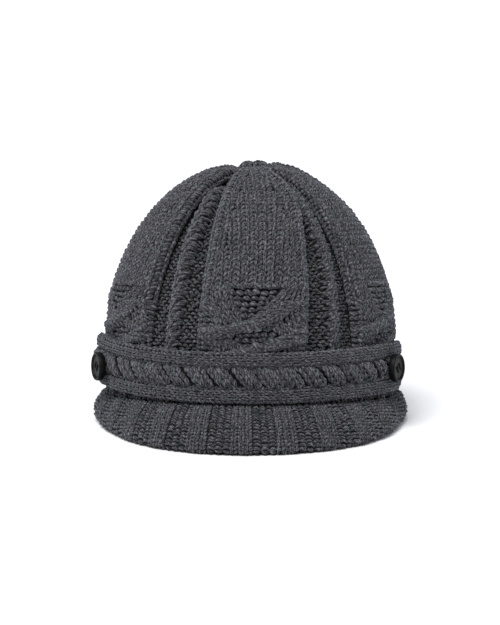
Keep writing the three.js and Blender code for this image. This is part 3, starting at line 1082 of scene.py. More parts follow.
    def recess_point(self, sector: int, aside: Array, along: Array, inset: float) -> Array:
        """Place in the recess after a panel, by the way aside from its twisted rib.

        Args:
            sector: Number of the panel.
            aside: Way from the rib's middle.
            along: Length from the seam.
            inset: How far inside the outer face.

        Returns:
            Points in millimetres.
        """
        form = self.form
        rise = self.line.rise(along)
        depth = form.recess_depth * form.share("recess", rise)
        depth = depth + self.fold_depth * np.minimum(1.0, form.share("recess", rise))
        sink = form.narrow_rib_sink * np.minimum(1.0, form.share("recess", rise))
        low, high = (self.rib_half_width * share for share in self.rib_flank)
        rib = 1 - smoothstep(np.abs(aside), low, high)
        rib = rib * (1 - smoothstep(np.degrees(rise), self.rib_top - 10, self.rib_top + 4))
        relief = -depth * (1 - rib) - (sink + self.rib_drop) * rib - inset
        return self.point((sector + 0.5) * form.sector, aside, along, relief)

    def edge(self, along: Array) -> Array:
        """Way across a panel from its middle to the turn of its rolled edge."""
        half = self.panel_half(along)
        return half + self.panel_roll_at(half) * self.roll_edge

    def strand_lines(self, along: Array, crossing: int, over: bool) -> tuple[Array, Array]:
        """Two lines of a strand at lengths from the seam.

        Args:
            along: Lengths from the seam.
            crossing: Number of the crossing.
            over: Whether it is the upper strand.

        Returns:
            The upper strand's left and right edges, or the lower strand's inner edge to
            the left and to the right.
        """
        if over:
            table = self.OVER_LONG if crossing == 0 else self.OVER_SHORT
        else:
            table = self.UNDER_LONG if crossing == 0 else self.UNDER_SHORT
        rows = np.array(table[::-1], float)
        way = np.asarray(along, float) - self.crossings[crossing]
        edge = self.edge(along)
        first, second = (np.interp(way, rows[:, 0], rows[:, column]) for column in (1, 2))
        return np.clip(first, -edge, edge), np.clip(second, -edge, edge)

    def crossing_span(self, crossing: int) -> tuple[float, float]:
        """Lengths from the seam between which a crossing's strands run.

        Args:
            crossing: Number of the crossing.

        Returns:
            The lowest and the highest.
        """
        table = self.OVER_LONG if crossing == 0 else self.OVER_SHORT
        middle = self.crossings[crossing]
        return max(0.6, middle + table[-1][0]), middle + table[0][0]

    def purl_edges(self, along: Array) -> tuple[Array, Array]:
        """Left and right edge of the purl between two strands, alike where there is none.

        Args:
            along: Lengths from the seam.

        Returns:
            Both edges, over the panel from its middle.
        """
        along = np.asarray(along, float)
        left, right = np.zeros_like(along), np.zeros_like(along)
        for crossing, middle in enumerate(self.crossings):
            low, high = self.crossing_span(crossing)
            over = self.strand_lines(along, crossing, True)
            under = self.strand_lines(along, crossing, False)
            above = (along >= middle) & (along <= high)
            below = (along < middle) & (along > low)
            left = np.where(above, -under[0], np.where(below, over[1], left))
            right = np.where(above, over[0], np.where(below, under[1], right))
        middle_line = (left + right) / 2
        shut = right - left < 1.0
        return np.where(shut, middle_line, left), np.where(shut, middle_line, right)

    def cable_relief(self, across: Array, along: Array) -> Array:
        """How the strands stand out, one over the other, and the purl between them sinks.

        Args:
            across: Way over the panel.
            along: Length from the seam.

        Returns:
            Height over the panel.
        """
        left, right = self.purl_edges(along)
        inside = np.minimum(across - left, right - across)
        relief = -self.purl_sink * smoothstep(inside, -0.6, 1.4) * (right > left)
        relief = relief * smoothstep(self.wedge_top - along, 0.0, self.wedge_ease)
        edge = self.edge(along)
        for crossing, middle in enumerate(self.crossings):
            low, high = self.crossing_span(crossing)
            way = np.asarray(along, float) - middle
            near = bell(way, 0.0, self.crossing_reach)
            fade = smoothstep(high - along, 0.0, 9.0) if crossing == 0 else 1.0
            within = (along > low) & (along <= high)
            over_left, over_right = self.strand_lines(along, crossing, True)
            to_left, to_right = self.strand_lines(along, crossing, False)
            under_left = np.where(way > 0, -edge, to_right)
            under_right = np.where(way > 0, -to_left, edge)
            over = self.round_strand(across, over_left, over_right)
            under = self.round_strand(across, under_left, under_right)
            lower = under * self.strand_swell - self.under_sink * near * (under > 0)
            upper = over * self.strand_swell + self.over_rise * near * np.minimum(1.0, over * 3)
            relief = relief + within * fade * np.where(over > 0, upper, lower)
        return relief * smoothstep(edge - np.abs(across), -1.0, self.edge_ease)

    @staticmethod
    def round_strand(across: Array, left: Array, right: Array) -> Array:
        """Rounded height of a strand between its edges, from 0 to 1.

        Args:
            across: Way over the panel.
            left: Left edge.
            right: Right edge.

        Returns:
            The height.
        """
        half = np.maximum((right - left) / 2, 0.5)
        place = np.abs(across - (left + right) / 2) / half
        return np.maximum(0.0, 1 - np.minimum(place, 1.0) ** 2.4) ** 0.7

    def covered(self, angle: float, along: Array) -> Array:
        """Whether the strap hides a place.

        Args:
            angle: Radians from the front.
            along: Length from the seam.

        Returns:
            True where it is hidden.
        """
        front = (angle + math.pi) % (2 * math.pi) - math.pi
        edge = self.form.straight + self.form.strap_climb(front) - self.strap_overlap
        inside = abs(math.degrees(front)) < self.form.strap_end - 4
        return (np.asarray(along) < edge) & inside

    def plain_wales(self, half: float) -> list[tuple[float, float, bool]]:
        """Wales of one side of a panel: place, width and whether it follows the edge.

        Args:
            half: Half the width of the panel.

        Returns:
            The wales, from the edge or the middle.
        """
        wale = self.panel_wale
        edge = half + float(self.panel_roll_at(np.array(half))) * self.roll_edge
        wales = [(edge - wale / 2, wale, True), (edge - 1.5 * wale, wale, True)]
        room = edge - 2 * wale
        if room < wale * 0.3:
            count = max(1, round(edge / wale))
            return [(edge * (i + 0.5) / count, edge / count, True) for i in range(count)]
        place = 0.0
        while room - place > wale * 1.5:
            wales.append((place + wale / 2, wale, False))
            place += wale
        wales.append(((place + room) / 2, room - place, False))
        return wales

    def knit_panel(self, stitches: StitchField, sector: int) -> None:
        """Lay the plain wales of a panel, which end where its edge takes them.

        Args:
            stitches: Field that they go to.
            sector: Number of the panel.
        """
        rows = np.arange(self.wedge_top + 1.0, self.top_length, self.gauge.row)
        for along in rows:
            half = float(self.panel_half(along))
            slope = float(self.panel_half(along + 1) - self.panel_half(along - 1)) / 2
            for place, width, follows in self.plain_wales(half):
                turn = math.atan(slope) if follows else math.atan(slope * (place / half) ** 4)
                stitches.knit([place, -place], [along, along], [turn, -turn], width)
        for along in np.arange(self.top_length, self.line.total - 1.0, 2.6):
            stitches.knit([0.0], [along], 0.0, 4.0, 0.6)
        self.knit_cable(stitches, sector * self.form.sector)

    def knit_cable(self, stitches: StitchField, centre: float) -> None:
        """Lay the strands of a panel's cable and the purl between them.

        Args:
            stitches: Field that they go to.
            centre: Angle of the panel.
        """
        for crossing, middle in enumerate(self.crossings):
            low, high = self.crossing_span(crossing)
            whole = np.linspace(high, low, 260)
            edge, way = self.edge(whole), whole - middle
            left, right = self.strand_lines(whole, crossing, True)
            to_left, to_right = self.strand_lines(whole, crossing, False)
            self.knit_strand(stitches, whole, left, right, centre, None)
            before = whole > middle - self.under_ends[0]
            most = self.strand_width
            inner = np.minimum(-to_left, most - edge)
            highest = self.under_ends[1]
            outer = self.slide_in * smoothstep(highest - way, 0.0, highest) - edge
            self.knit_strand(stitches, whole[before], outer[before], inner[before], centre,
                             crossing)
            after = whole < middle + self.under_ends[1]
            inner = np.maximum(to_right, edge - most)
            outer = edge - self.slide_out * smoothstep(way, -5.0, 8.0)
            self.knit_strand(stitches, whole[after], inner[after], outer[after], centre,
                             crossing)
            low, high = self.notch_span
            notch = np.arange(middle + low, middle + high, self.gauge.row)
            notch = notch[~self.covered(centre, notch) & (notch > 1.0)]
            for inside in self.notch_wales:
                for side in (-1, 1):
                    stitches.purl(side * (self.edge(notch) - inside), notch, 0.0,
                                  self.panel_wale, self.notch_lift, plump=self.wedge_plump,
                                  dive=self.wedge_dive)
        self.knit_purl(stitches, centre)

    def knit_strand(self, stitches: StitchField, along: Array, left: Array, right: Array,
                    centre: float, under: int | None) -> None:
        """Lay the wales of a strand between its two edges, each along its own line.

        Args:
            stitches: Field of the panel.
            along: Lengths from the seam, from the top down.
            left: Left edge of the strand there.
            right: Right edge of the strand there.
            centre: Angle of the panel.
            under: Number of the crossing whose upper strand hides this one, if any.
        """
        edge = self.edge(along) - 0.5
        left = left + self.strand_inset * (left > -edge)
        right = np.maximum(right - self.strand_inset * (right < edge), left)
        for wale in range(self.strand_wales):
            share = (wale + 0.5) / self.strand_wales
            path = left + (right - left) * share
            lengths = np.concatenate([[0.0], np.cumsum(np.hypot(np.diff(path), np.diff(along)))])
            places = np.arange(self.gauge.row * 0.5, lengths[-1], self.gauge.row * 1.05)
            t, s, spread = (np.interp(places, lengths, line)
                            for line in (along, path, right - left))
            turn = np.arctan2(-np.gradient(s), -np.gradient(t))
            keep = ~self.covered(centre, t) & (spread > self.strand_least)
            if under is not None:
                over_left, over_right = self.strand_lines(t, under, True)
                keep &= ~((s > over_left + 0.4) & (s < over_right - 1.0))
            width = spread / self.strand_wales * np.abs(np.cos(turn))
            width = np.clip(width, *self.strand_wale_range)
            stitches.knit(s[keep], t[keep], turn[keep], width[keep], slant=self.strand_slant)

    def knit_purl(self, stitches: StitchField, centre: float) -> None:
        """Lay the purl stitches in the wedge and the diamonds.

        Args:
            stitches: Field that they go to.
            centre: Angle of the panel.
        """
        wale, row = self.panel_wale, self.gauge.row * 1.08
        for number, along in enumerate(np.arange(1.0, self.wedge_top + 1.5, row)):
            left, right = (float(edge) for edge in self.purl_edges(np.array(along)))
            if right - left < 3.0 or bool(self.covered(centre, along)):
                continue
            places = np.arange(left - 1.6 + number % 2 * wale / 2, right + 1.8, wale)
            stitches.purl(places, np.full(len(places), along), 0.0, wale * 1.04, 0.5,
                          sinkers=False, plump=self.wedge_plump, dive=self.wedge_dive)

    def knit_recess(self, stitches: StitchField, sector: int) -> None:
        """Lay the purl beside the twisted rib, and the rib itself.

        Args:
            stitches: Field that they go to.
            sector: Number of the panel before it.
        """
        centre = (sector + 0.5) * self.form.sector
        rows = np.arange(2.0, self.top_length - 12, self.purl_row)
        for number, along in enumerate(rows):
            if bool(self.covered(centre, along)):
                continue
            half = float(self.sector_half(along) - self.panel_half(along)) + 1.2
            rise = np.degrees(self.line.rise(along))
            shut = float(smoothstep(rise, self.rib_top - 8, self.rib_top + 4))
            inner = (self.rib_half_width - 2.4) * (1 - shut)
            width = self.purl_wale
            places = np.arange(inner + (0.1 + number % 2 * 0.5) * width, half + 0.6, width)
            both = np.concatenate([places, -places])
            tilt = self.purl_tilt * (-1.0) ** (np.arange(len(both)) + number // 2)
            stitches.purl(both, np.full(len(both), along), tilt, width * 1.1, 0.2,
                          sinkers=False, plump=self.purl_plump, dive=self.purl_dive)
        self.twist_rib(stitches, centre)

    def twist_rib(self, stitches: StitchField, centre: float) -> None:
        """Lay the narrow rib: two wales that keep winding over each other.

        Args:
            stitches: Field that they go to.
            centre: Angle of the rib.
        """
        pitch = self.twist_pitch
        top = float(np.interp(math.radians(self.rib_top), self.line.rises, self.line.lengths))
        step = pitch / 2
        for strand in (0, 1):
            t = np.arange(2.0, top, step)
            phase = math.pi * (t + 0.4) / pitch + math.pi * strand
            s = -self.twist_swing * np.cos(phase)
            over = np.sin(phase)
            keep = ~self.covered(centre, t)
            turn = np.arctan2(self.twist_swing * math.pi / pitch * over, 1.0)
            stitches.knit(s[keep], t[keep], turn[keep], self.rib_wale, 0.4 + 0.6 * over[keep],
                          row=self.rib_row)

    def ground_grid(self) -> Array:
        """Grid round the crown, up its outer face and back down its inner one.

        Returns:
            Points in millimetres, section by section.
        """
        lift = self.gauge.lift
        panel_places = np.array([-1, -0.94, -0.88, -0.8, -0.7, -0.52, -0.34, -0.17])
        panel_places = np.concatenate([panel_places, [0.0], -panel_places[::-1]])
        recess_places = np.array([-0.85, -0.62, -0.4, -0.2, 0.0, 0.2, 0.4, 0.62, 0.85])
        up = np.concatenate([np.linspace(self.form.seat_gap, self.line.total - 8, 64),
                             self.line.total - np.array([5.0, 2.5, 0.0])])
        columns = []
        for sector in range(len(self.form.PANELS)):
            for place in panel_places:
                across = place * self.panel_end(up)
                outer = self.panel_point(sector, across, up, lift)
                inner = self.panel_point(sector, across, up, self.wall)
                columns.append(np.concatenate([outer, inner[::-1]]))
            for place in recess_places:
                aside = place * (self.sector_half(up) - self.panel_half(up))
                outer = self.recess_point(sector, aside, up, lift)
                inner = self.recess_point(sector, aside, up, self.wall - 1.2)
                columns.append(np.concatenate([outer, inner[::-1]]))
        return np.stack(columns + columns[:1])

    def build(self) -> list[bpy.types.Object]:
        """Build and dress the crown.

        Returns:
            Its ground first, then the stitches of each sector.
        """
        grid = self.ground_grid()
        closed = np.concatenate([grid, grid[:, :1]], axis=1)
        pieces = [lay_ground("crown_ground", closed, self.knitter.ground)]
        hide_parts("crown")
        lift = self.gauge.lift
        half = float(self.panel_end(np.array(0.0))) + 2
        sink = float(self.sector_half(np.array(0.0)) - self.panel_half(np.array(0.0))) + 4
        for sector in range(len(self.form.PANELS)):
            panel = StitchField(
                Surface(lambda s, t, k=sector: self.panel_point(k, s, t, lift),
                        (-half, half), (-2.0, self.line.total)), self.gauge, 100 + sector, -1.0)
            self.knit_panel(panel, sector)
            panel.fluff(self.panel_fluff)
            recess = StitchField(
                Surface(lambda s, t, k=sector: self.recess_point(k, s, t, lift),
                        (-sink, sink), (-2.0, self.line.total)), self.gauge, 200 + sector)
            self.knit_recess(recess, sector)
            recess.fluff(self.recess_fluff)
            pieces.append(panel.mesh(f"crown_panel_{sector + 1}", self.knitter.yarn))
            pieces.append(recess.mesh(f"crown_recess_{sector + 1}", self.knitter.yarn))
        return pieces


# Ribbed band


@dataclass
class RibBand:
    """Two by two ribbing round the head, with its cast-on edge rolled under."""

    knitter: Knitter
    wall: float = 5.0
    relief: float = 1.6
    rim_roll: float = 1.6
    ribs: int = 29
    fluff: float = 0.1

    def __post_init__(self) -> None:
        """Take the sizes of the cap and its knit."""
        self.form = self.knitter.form
        self.gauge = self.knitter.gauge

    def ridge(self, angle: Array) -> Array:
        """1 on a rib and 0 in the groove beside it."""
        share = angle / (2 * math.pi) * self.ribs - 0.25
        return 0.5 + 0.5 * np.tanh(3 * np.cos(2 * math.pi * share))

    def point(self, s: Array, t: Array, inset: float) -> Array:
        """Place on the band: way round, and way up from the seam, which goes under the rim.

        Args:
            s: Way round the band.
            t: Way up from the seam.
            inset: How far inside the outer face.

        Returns:
            Points in millimetres.
        """
        angle = s / self.form.radius
        outside = -inset - self.relief * (1 - self.ridge(angle))
        depth = self.form.rim_depth(angle) - self.rim_roll
        turn = np.clip((-t - depth) / self.rim_roll, 0.0, math.pi)
        height = -np.minimum(-t, depth) - self.rim_roll * np.sin(turn)
        return self.form.place(angle, height, outside - self.rim_roll * (1 - np.cos(turn)))

    def ground_grid(self) -> Array:
        """Closed sections of the band's ground, all the way round.

        Returns:
            Points in millimetres, section by section.
        """
        angles = np.linspace(0, 2 * math.pi, self.ribs * 8 + 1)
        sections = []
        for angle in angles:
            depth = float(self.form.rim_depth(np.array(angle)))
            outside = -self.gauge.lift - self.relief * (1 - float(self.ridge(np.array(angle))))
            path = [(-0.2, outside), (-depth * 0.3, outside), (-depth * 0.7, outside),
                    (-depth + 1.6, outside), (-depth + 0.5, outside - 0.6),
                    (-depth, outside - 1.6), (-depth + 0.5, -self.wall + 0.4),
                    (-depth * 0.7, -self.wall), (-depth * 0.3, -self.wall), (-0.2, -self.wall)]
            height, out = np.array(path + path[:1]).T
            sections.append(self.form.place(np.full(len(height), angle), height, out))
        return np.stack(sections)

    def build(self) -> list[bpy.types.Object]:
        """Build and dress the band: its ground, then its stitches.

        Returns:
            The ground and the stitches.
        """
        ground = lay_ground("rib_band_ground", self.ground_grid(), self.knitter.ground)
        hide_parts("rib_band")
        length = 2 * math.pi * self.form.radius
        surface = Surface(lambda s, t: self.point(s, t, self.gauge.lift), (-8.0, length + 8.0),
                          (-self.form.band_height - 6.0, 3.0))
        stitches = StitchField(surface, self.gauge, 300)
        pitch = length / self.ribs
        wale = pitch / 4
        for rib in range(self.ribs):
            for wales, knits in ((0.125, True), (0.375, True), (0.625, False), (0.875, False)):
                s = (rib + wales) * pitch
                depth = float(self.form.rim_depth(np.array(s / self.form.radius)))
                t = np.arange(-depth - 0.4, 0.6, self.gauge.row)
                if knits:
                    stitches.knit(np.full(len(t), s), t, 0.0, wale)
                else:
                    stitches.purl(np.full(len(t), s), t, 0.0, wale, sinkers=wales < 0.8)
        stitches.fluff(self.fluff)
        return [ground, stitches.mesh("rib_band_stitches", self.knitter.yarn)]


# Peak


@dataclass
class Peak:
    """Short ribbed peak, a stuffed fold of ribbing sewn on above the band's rim."""

    knitter: Knitter
    reach: float = 32.5
    thickness: float = 6.0
    end: float = 98.0
    bulge: float = 4.0
    seam_rise: float = 0.5
    relief: float = 1.7
    ribs: int = 14
    rib_phase: float = 0.92
    rib_share: float = 0.48
    under_row: float = 3.6
    nose: float = 0.12
    fluff: float = 0.1

    # Edge of the peak: degrees from the front, reach and height as shares
    OUTLINE = ((-98, 0.1, 0.25), (-82, 0.19, 0.05), (-67, 0.26, 0), (-50, 0.45, 0),
               (-35, 0.73, 0), (-20, 0.93, 0), (-7, 1.01, 0), (7, 1.0, 0), (20, 0.94, 0),
               (35, 0.81, 0), (50, 0.57, 0), (67, 0.27, 0), (82, 0.19, 0.05), (98, 0.1, 0.25))

    def __post_init__(self) -> None:
        """Lay out the peak's seam and edge by equal lengths."""
        self.form = self.knitter.form
        self.gauge = replace(self.knitter.gauge, row=2.4, leg_length=3.8, leg_slant=20.0,
                             leg_radius=0.84, leg_plump=1.0, dive=1.5, crest=0.5, purl_radius=0.92,
                             purl_dive=1.0, purl_sag=1.3, purl_stray=0.06, stray_mm=0.1)
        angles = np.radians(np.linspace(-self.end, self.end, 241))
        gap = self.form.seat_gap
        rim = -self.form.rim_depth(angles, gap)
        rows = np.array(self.OUTLINE, float)
        reach = self.reach * np.interp(np.degrees(angles), rows[:, 0], rows[:, 1])
        tip = self.form.place(angles, 0.0, reach)
        tip[:, 2] = self.form.seam_height * np.interp(np.degrees(angles), rows[:, 0], rows[:, 2])
        foot = rim + self.seam_rise
        low, self.length = self.by_length(self.form.place(angles, foot, gap))
        high, _ = self.by_length(self.form.place(angles, foot + self.thickness, gap))
        edge, _ = self.by_length(tip)
        self.lines = (low, high, edge)

    @staticmethod
    def by_length(points: Array) -> tuple[Array, float]:
        """Spread a line's points by equal lengths, and give its whole length.

        Args:
            points: Places on the line.

        Returns:
            The evened line and its length.
        """
        steps = np.linalg.norm(np.diff(points, axis=0), axis=1)
        lengths = np.concatenate([[0.0], np.cumsum(steps)])
        even = np.linspace(0, lengths[-1], len(points))
        return np.stack([np.interp(even, lengths, points[:, i]) for i in range(3)], -1), lengths[-1]

    def ridge(self, share: Array) -> Array:
        """1 on a rib and 0 in the groove beside it, by the share of the seam.

        Args:
            share: Way along the seam, from 0 to 1.

        Returns:
            Height from 0 to 1.
        """
        turn = share * self.ribs - self.rib_phase
        edge = math.cos(math.pi * self.rib_share)
        return 0.5 + 0.5 * np.tanh(3 * (np.cos(2 * math.pi * turn) - edge))

    def section(self, share: Array, way: Array, inset: float) -> Array:
        """Place on the peak.

        Args:
            share: Way along the seam, from 0 to 1.
            way: Way round a section, from the seam's top over the edge and back under.
            inset: How far inside the peak's outer face.

        Returns:
            Points in millimetres.
        """
        count = len(self.lines[0]) - 1
        low, high, tip = (np.stack([np.interp(share * count, np.arange(count + 1), line[:, i])
                                    for i in range(3)], -1) for line in self.lines)
        top_part, nose_part = 0.45, 0.1
        turn = np.clip((way - top_part) / nose_part, 0, 1) * math.pi
        flat = 1 - self.nose
        toward = np.where(way < top_part, way / top_part * flat,
                          np.where(way > top_part + nose_part,
                                   (1 - way) / (1 - top_part - nose_part) * flat,
                                   flat + self.nose * np.sin(turn)))
        face = 0.5 + 0.5 * np.cos(turn)
        outward = (tip - low) * np.array([1.0, 1.0, 0.0])
        span = np.linalg.norm(outward, axis=-1, keepdims=True)
        outward = outward / np.maximum(span, 1e-6)
        bulge = self.bulge * (0.4 + 0.6 * np.minimum(1.0, span[..., 0] / self.reach))
        point = low + (tip - low) * toward[..., None]
        lift = face * (1 - 0.35 * toward)
        point = point + (high - low) * lift[..., None]
        arch = bulge * np.sin(math.pi * np.clip(toward, 0, 1) ** 0.9) * (0.5 + 0.5 * face)
        ribbed = smoothstep(toward, 0.02, 0.2)
        sunk = self.relief * (1 - self.ridge(share)) * ribbed
        up = 2 * face - 1
        point[..., 2] += arch - sunk * 0.8 * up - inset * up * (1 - np.sin(turn) * 0.5)
        outside = arch * 0.4 + self.thickness * 0.35 * face * toward
        outside = outside - (sunk * 0.6 + inset) * np.sin(turn)
        point = point + outward * outside[..., None]
        floor = np.maximum(tip[..., 2], 0.0) + inset
        point[..., 2] = np.maximum(point[..., 2], floor)
        return point

    def measure(self, inset: float) -> Surface:
        """Face of the peak by millimetres along its seam and round its section.

        Args:
            inset: How far inside the outer face.

        Returns:
            The face to lay stitches on.
        """
        shares = np.linspace(0, 1, 420)
        ways = np.linspace(0, 1, 160)
        points = self.section(*np.meshgrid(shares, ways, indexing="ij"), inset)
        steps = np.linalg.norm(np.diff(points, axis=1), axis=-1)
        lengths = np.concatenate([np.zeros((len(shares), 1)), np.cumsum(steps, axis=1)], axis=1)
        self.section_lengths = lengths[:, -1]
        self.nose_lengths = lengths[:, 80]
        longest = float(lengths[:, -1].max())

        def point_at(s: Array, t: Array) -> Array:
            """Place by millimetres, read from the measured sections.

            Args:
                s: Way along the seam.
                t: Way round the section.

            Returns:
                Points in millimetres.
            """
            share = np.clip(s / self.length, 0, 1)
            row = np.clip(np.round(share * (len(shares) - 1)).astype(int), 0, len(shares) - 1)
            way = np.empty_like(t)
            for i in range(t.shape[0]):
                # The way is counted down from the seam, so that rows climb towards it
                way[i] = np.interp(-t[i], lengths[row[i, 0]], ways)
            return self.section(share, way, inset)

        return Surface(point_at, (0.0, self.length), (-longest, 0.0), 0.6)

    def ground_grid(self) -> Array:
        """Closed sections of the peak's ground.

        Returns:
            Points in millimetres, section by section.
        """
        shares = np.linspace(0, 1, self.ribs * 8 + 1)
        ways = np.concatenate([np.linspace(0, 0.45, 12), np.linspace(0.46, 0.54, 7),
                               np.linspace(0.55, 1, 10)])
        grid = self.section(*np.meshgrid(shares, ways, indexing="ij"), self.gauge.lift)
        return np.concatenate([grid, grid[:, :1]], axis=1)

    def build(self) -> list[bpy.types.Object]:
        """Build and dress the peak: its ground, then its stitches.

        Returns:
            The ground and the stitches.
        """
        ground = lay_ground("peak_ground", self.ground_grid(), self.knitter.ground)
        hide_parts("peak")
        surface = self.measure(self.gauge.lift)
        stitches = StitchField(surface, self.gauge, 400)
        wale = self.length / self.ribs / 6
        for rib in range(-1, self.ribs + 1):
            for column in range(6):
                place = (column - 1) * 0.158 if column < 3 else 0.5 + (column - 4) * 0.172
                share = (rib + self.rib_phase + place) / self.ribs
                if not 0.004 < share < 0.996:
                    continue
                longest, nose = (float(np.interp(share, np.linspace(0, 1, 420), lengths))
                                 for lengths in (self.section_lengths, self.nose_lengths))
                above = np.arange(0.8, nose + 3.0, self.gauge.row)
                below = np.arange(above[-1] + self.under_row, longest - 1.0, self.under_row)
                t = -np.concatenate([above, below])
                s = np.full(len(t), share * self.length)
                if column < 3:
                    stitches.knit(s, t, 0.0, wale * 0.86)
                else:
                    stitches.purl(s, t, 0.0, wale * 1.12, sinkers=False)
        stitches.fluff(self.fluff)
        return [ground, stitches.mesh("peak_stitches", self.knitter.yarn)]


# Strap


@dataclass
class Strap:
    """Strap knitted lengthwise: three plain wales at each edge and a rope cable between."""

    knitter: Knitter
    corner: float = 9.0
    edge_roll: float = 2.4
    rope_pitch: float = 15.0
    rope_wales: int = 2
    rope_row: float = 3.6
    rope_swell: float = 5.0
    rope_sink: float = 2.8
    rope_cover: float = 0.8
    rope_stray: float = 0.045
    groove: float = 6.1
    groove_depth: float = 1.7
    row: float = 3.8
    # Plain wales along each edge: place from the edge, and width
    edge_wales: tuple[tuple[float, float], ...] = ((1.7, 3.1), (4.75, 3.0), (7.6, 2.8))
    edge_slant: float = 10.0
    # Wales across the ends: places from the end, width and slant
    end_wales: tuple[float, ...] = (2.2, 5.8)
    end_width: float = 3.9
    rope_slant: float = 12.0
    dash_width: float = 3.4
    dash_lift: float = -0.6
    fluff: float = 0.15
    # The rope is pressed to this height under the buttons
    button_angle: float = 65.6
    button_reach: float = 13.0
    button_seat: float = 1.6

    def __post_init__(self) -> None:
        """Take the sizes of the cap and its knit."""
        self.form = self.knitter.form
        self.gauge = self.knitter.gauge
        self.radius = self.form.radius + self.form.strap_thickness
        self.end = math.radians(self.form.strap_end) * self.radius

    def half_height(self, s: Array) -> Array:
        """Half the height of the strap, less at its rounded corners."""
        left = 1 - np.clip((self.end - np.abs(s)) / self.corner, 0.0, 1.0)
        return self.form.strap_height / 2 - self.corner * (1 - np.sqrt(1 - left ** 2))

    def point(self, s: Array, t: Array, inset: float) -> Array:
        """Place on the strap's outer face, rolled down to the cap at its edges.

        Args:
            s: Way along from the middle.
            t: Way up from the middle line.
            inset: How far inside the outer face.

        Returns:
            Points in millimetres.
        """
        half = self.half_height(s)
        from_edge = np.minimum(half - np.abs(t), self.end - np.abs(s))
        left = 1 - np.clip(from_edge / self.edge_roll, 0.0, 1.0)
        drop = self.edge_roll * (1 - np.sqrt(1 - left ** 2))
        groove = self.groove_depth * (bell(t, self.groove, 2.4) + bell(t, -self.groove, 2.4))
        near = smoothstep(self.end - np.abs(s), 1.0, 6.0) * (np.abs(t) < self.groove)
        pressed = bell(np.abs(s), math.radians(self.button_angle) * self.radius, self.button_reach)
        swell = (self.rope_relief_at(s, t) * (1 - pressed) + self.button_seat * pressed) * near
        outside = self.form.seat_gap + self.form.strap_thickness - drop - groove + swell - inset
        held_s = np.clip(s, -self.end, self.end)
        held_t = np.clip(t, -half, half)
        past = np.abs(t) - np.abs(held_t) + np.abs(s) - np.abs(held_s)
        outside = np.maximum(outside - past, 0.2)
        return self.form.strap_place(held_s / self.radius, held_t, outside)

    def rope_relief_at(self, s: Array, t: Array) -> Array:
        """Height of the rope, whose lobes slant down from the left, each rounded across.

        Args:
            s: Way along from the middle.
            t: Way up from the middle line.

        Returns:
            Height over the face.
        """
        turn = np.arccos(np.clip(t / self.groove, -1.0, 1.0)) / math.pi
        place = 2 * np.mod(s / self.rope_pitch - turn, 1.0) - 1
        held = np.clip(t / self.groove, -1.0, 1.0)
        rounded = (1 - np.abs(place) ** 2) ** 0.8 * np.sqrt(1 - held ** 2 * 0.6)
        return self.rope_swell * rounded - self.rope_sink

    def ground_grid(self) -> Array:
        """Closed sections of the strap's ground from end to end.

        Returns:
            Points in millimetres, section by section.
        """
        ends = self.end - self.corner * np.array([0.0, 0.06, 0.2, 0.4, 0.7])
        middle = np.linspace(-self.end + self.corner, self.end - self.corner, 180)
        s = np.concatenate([-ends, middle, ends[::-1]])
        places = np.array([-1, -0.97, -0.92, -0.8, -0.6, -0.42, -0.34, -0.25, -0.12, 0, 0.12, 0.25,
                           0.34, 0.42, 0.6, 0.8, 0.92, 0.97, 1])
        sections = []
        for along in s:
            half = float(self.half_height(np.array(along)))
            t = places * half
            outer = self.point(np.full(len(t), along), t, self.gauge.lift)
            inner_t = np.array([0.8, 0.0, -0.8]) * half
            inner = self.form.strap_place(along / self.radius, inner_t, self.form.seat_gap)
            sections.append(np.concatenate([outer, inner, outer[:1]]))
        return np.stack(sections)

    def knit_edges(self, stitches: StitchField) -> None:
        """Lay the plain wales along both edges and across the ends, and purl in the grooves.

        Args:
            stitches: Field that they go to.
        """
        top = self.form.strap_height / 2
        for side in (1, -1):
            for inside, width in self.edge_wales:
                s = np.arange(-self.end + 2.0, self.end - 1.0, self.row)
                half = self.half_height(s)
                t = side * (np.minimum(top, half + 1.0) - inside)
                keep = np.abs(t) > 0.5
                turn = np.arctan2(1.0, np.gradient(t, s))
                stitches.knit(s[keep], t[keep], turn[keep], width * 0.9, row=self.row * 1.1,
                              slant=self.edge_slant)
            s = np.arange(-self.end + 4.0, self.end - 3.0, self.row)
            stitches.purl(s, np.full(len(s), side * self.groove), math.pi / 2, self.dash_width,
                          self.dash_lift, sinkers=False)
            for inside in self.end_wales:
                t = np.arange(-self.groove, self.groove + 1.0, self.gauge.row)
                s = np.full(len(t), side * (self.end - inside))
                stitches.knit(s, t, 0.0, self.end_width, slant=self.rope_slant)

    def twist_rope(self, stitches: StitchField) -> None:
        """Lay the rope: slanting lobes of two wales, from its top edge down to its foot.

        Args:
            stitches: Field that they go to.
        """
        pitch, reach = self.rope_pitch, self.groove
        first = math.ceil(-self.end / pitch) - 2
        for lobe in range(first, -first + 1):
            stray = stitches.random.normal(0, self.rope_stray)
            for wale in range(self.rope_wales):
                line = np.linspace(0.13, 0.87, 60) * math.pi
                place = 0.5 + ((wale + 0.5) / self.rope_wales - 0.5) * self.rope_cover
                s_line = (lobe + place + stray) * pitch + pitch * line / math.pi
                t_line = reach * np.cos(line)
                steps = np.hypot(np.diff(s_line), np.diff(t_line))
                lengths = np.concatenate([[0.0], np.cumsum(steps)])
                count = round(lengths[-1] / self.rope_row)
                places = (np.arange(count) + 0.5) * lengths[-1] / count
                s, t = (np.interp(places, lengths, values) for values in (s_line, t_line))
                turn = np.arctan2(-np.gradient(s, places), -np.gradient(t, places))
                width = pitch / self.rope_wales * self.rope_cover * np.abs(np.cos(turn))
                keep = np.abs(s) < self.end - 3.0
                stitches.knit(s[keep], t[keep], turn[keep], width[keep],
                              row=self.rope_row * 1.1, slant=self.rope_slant)

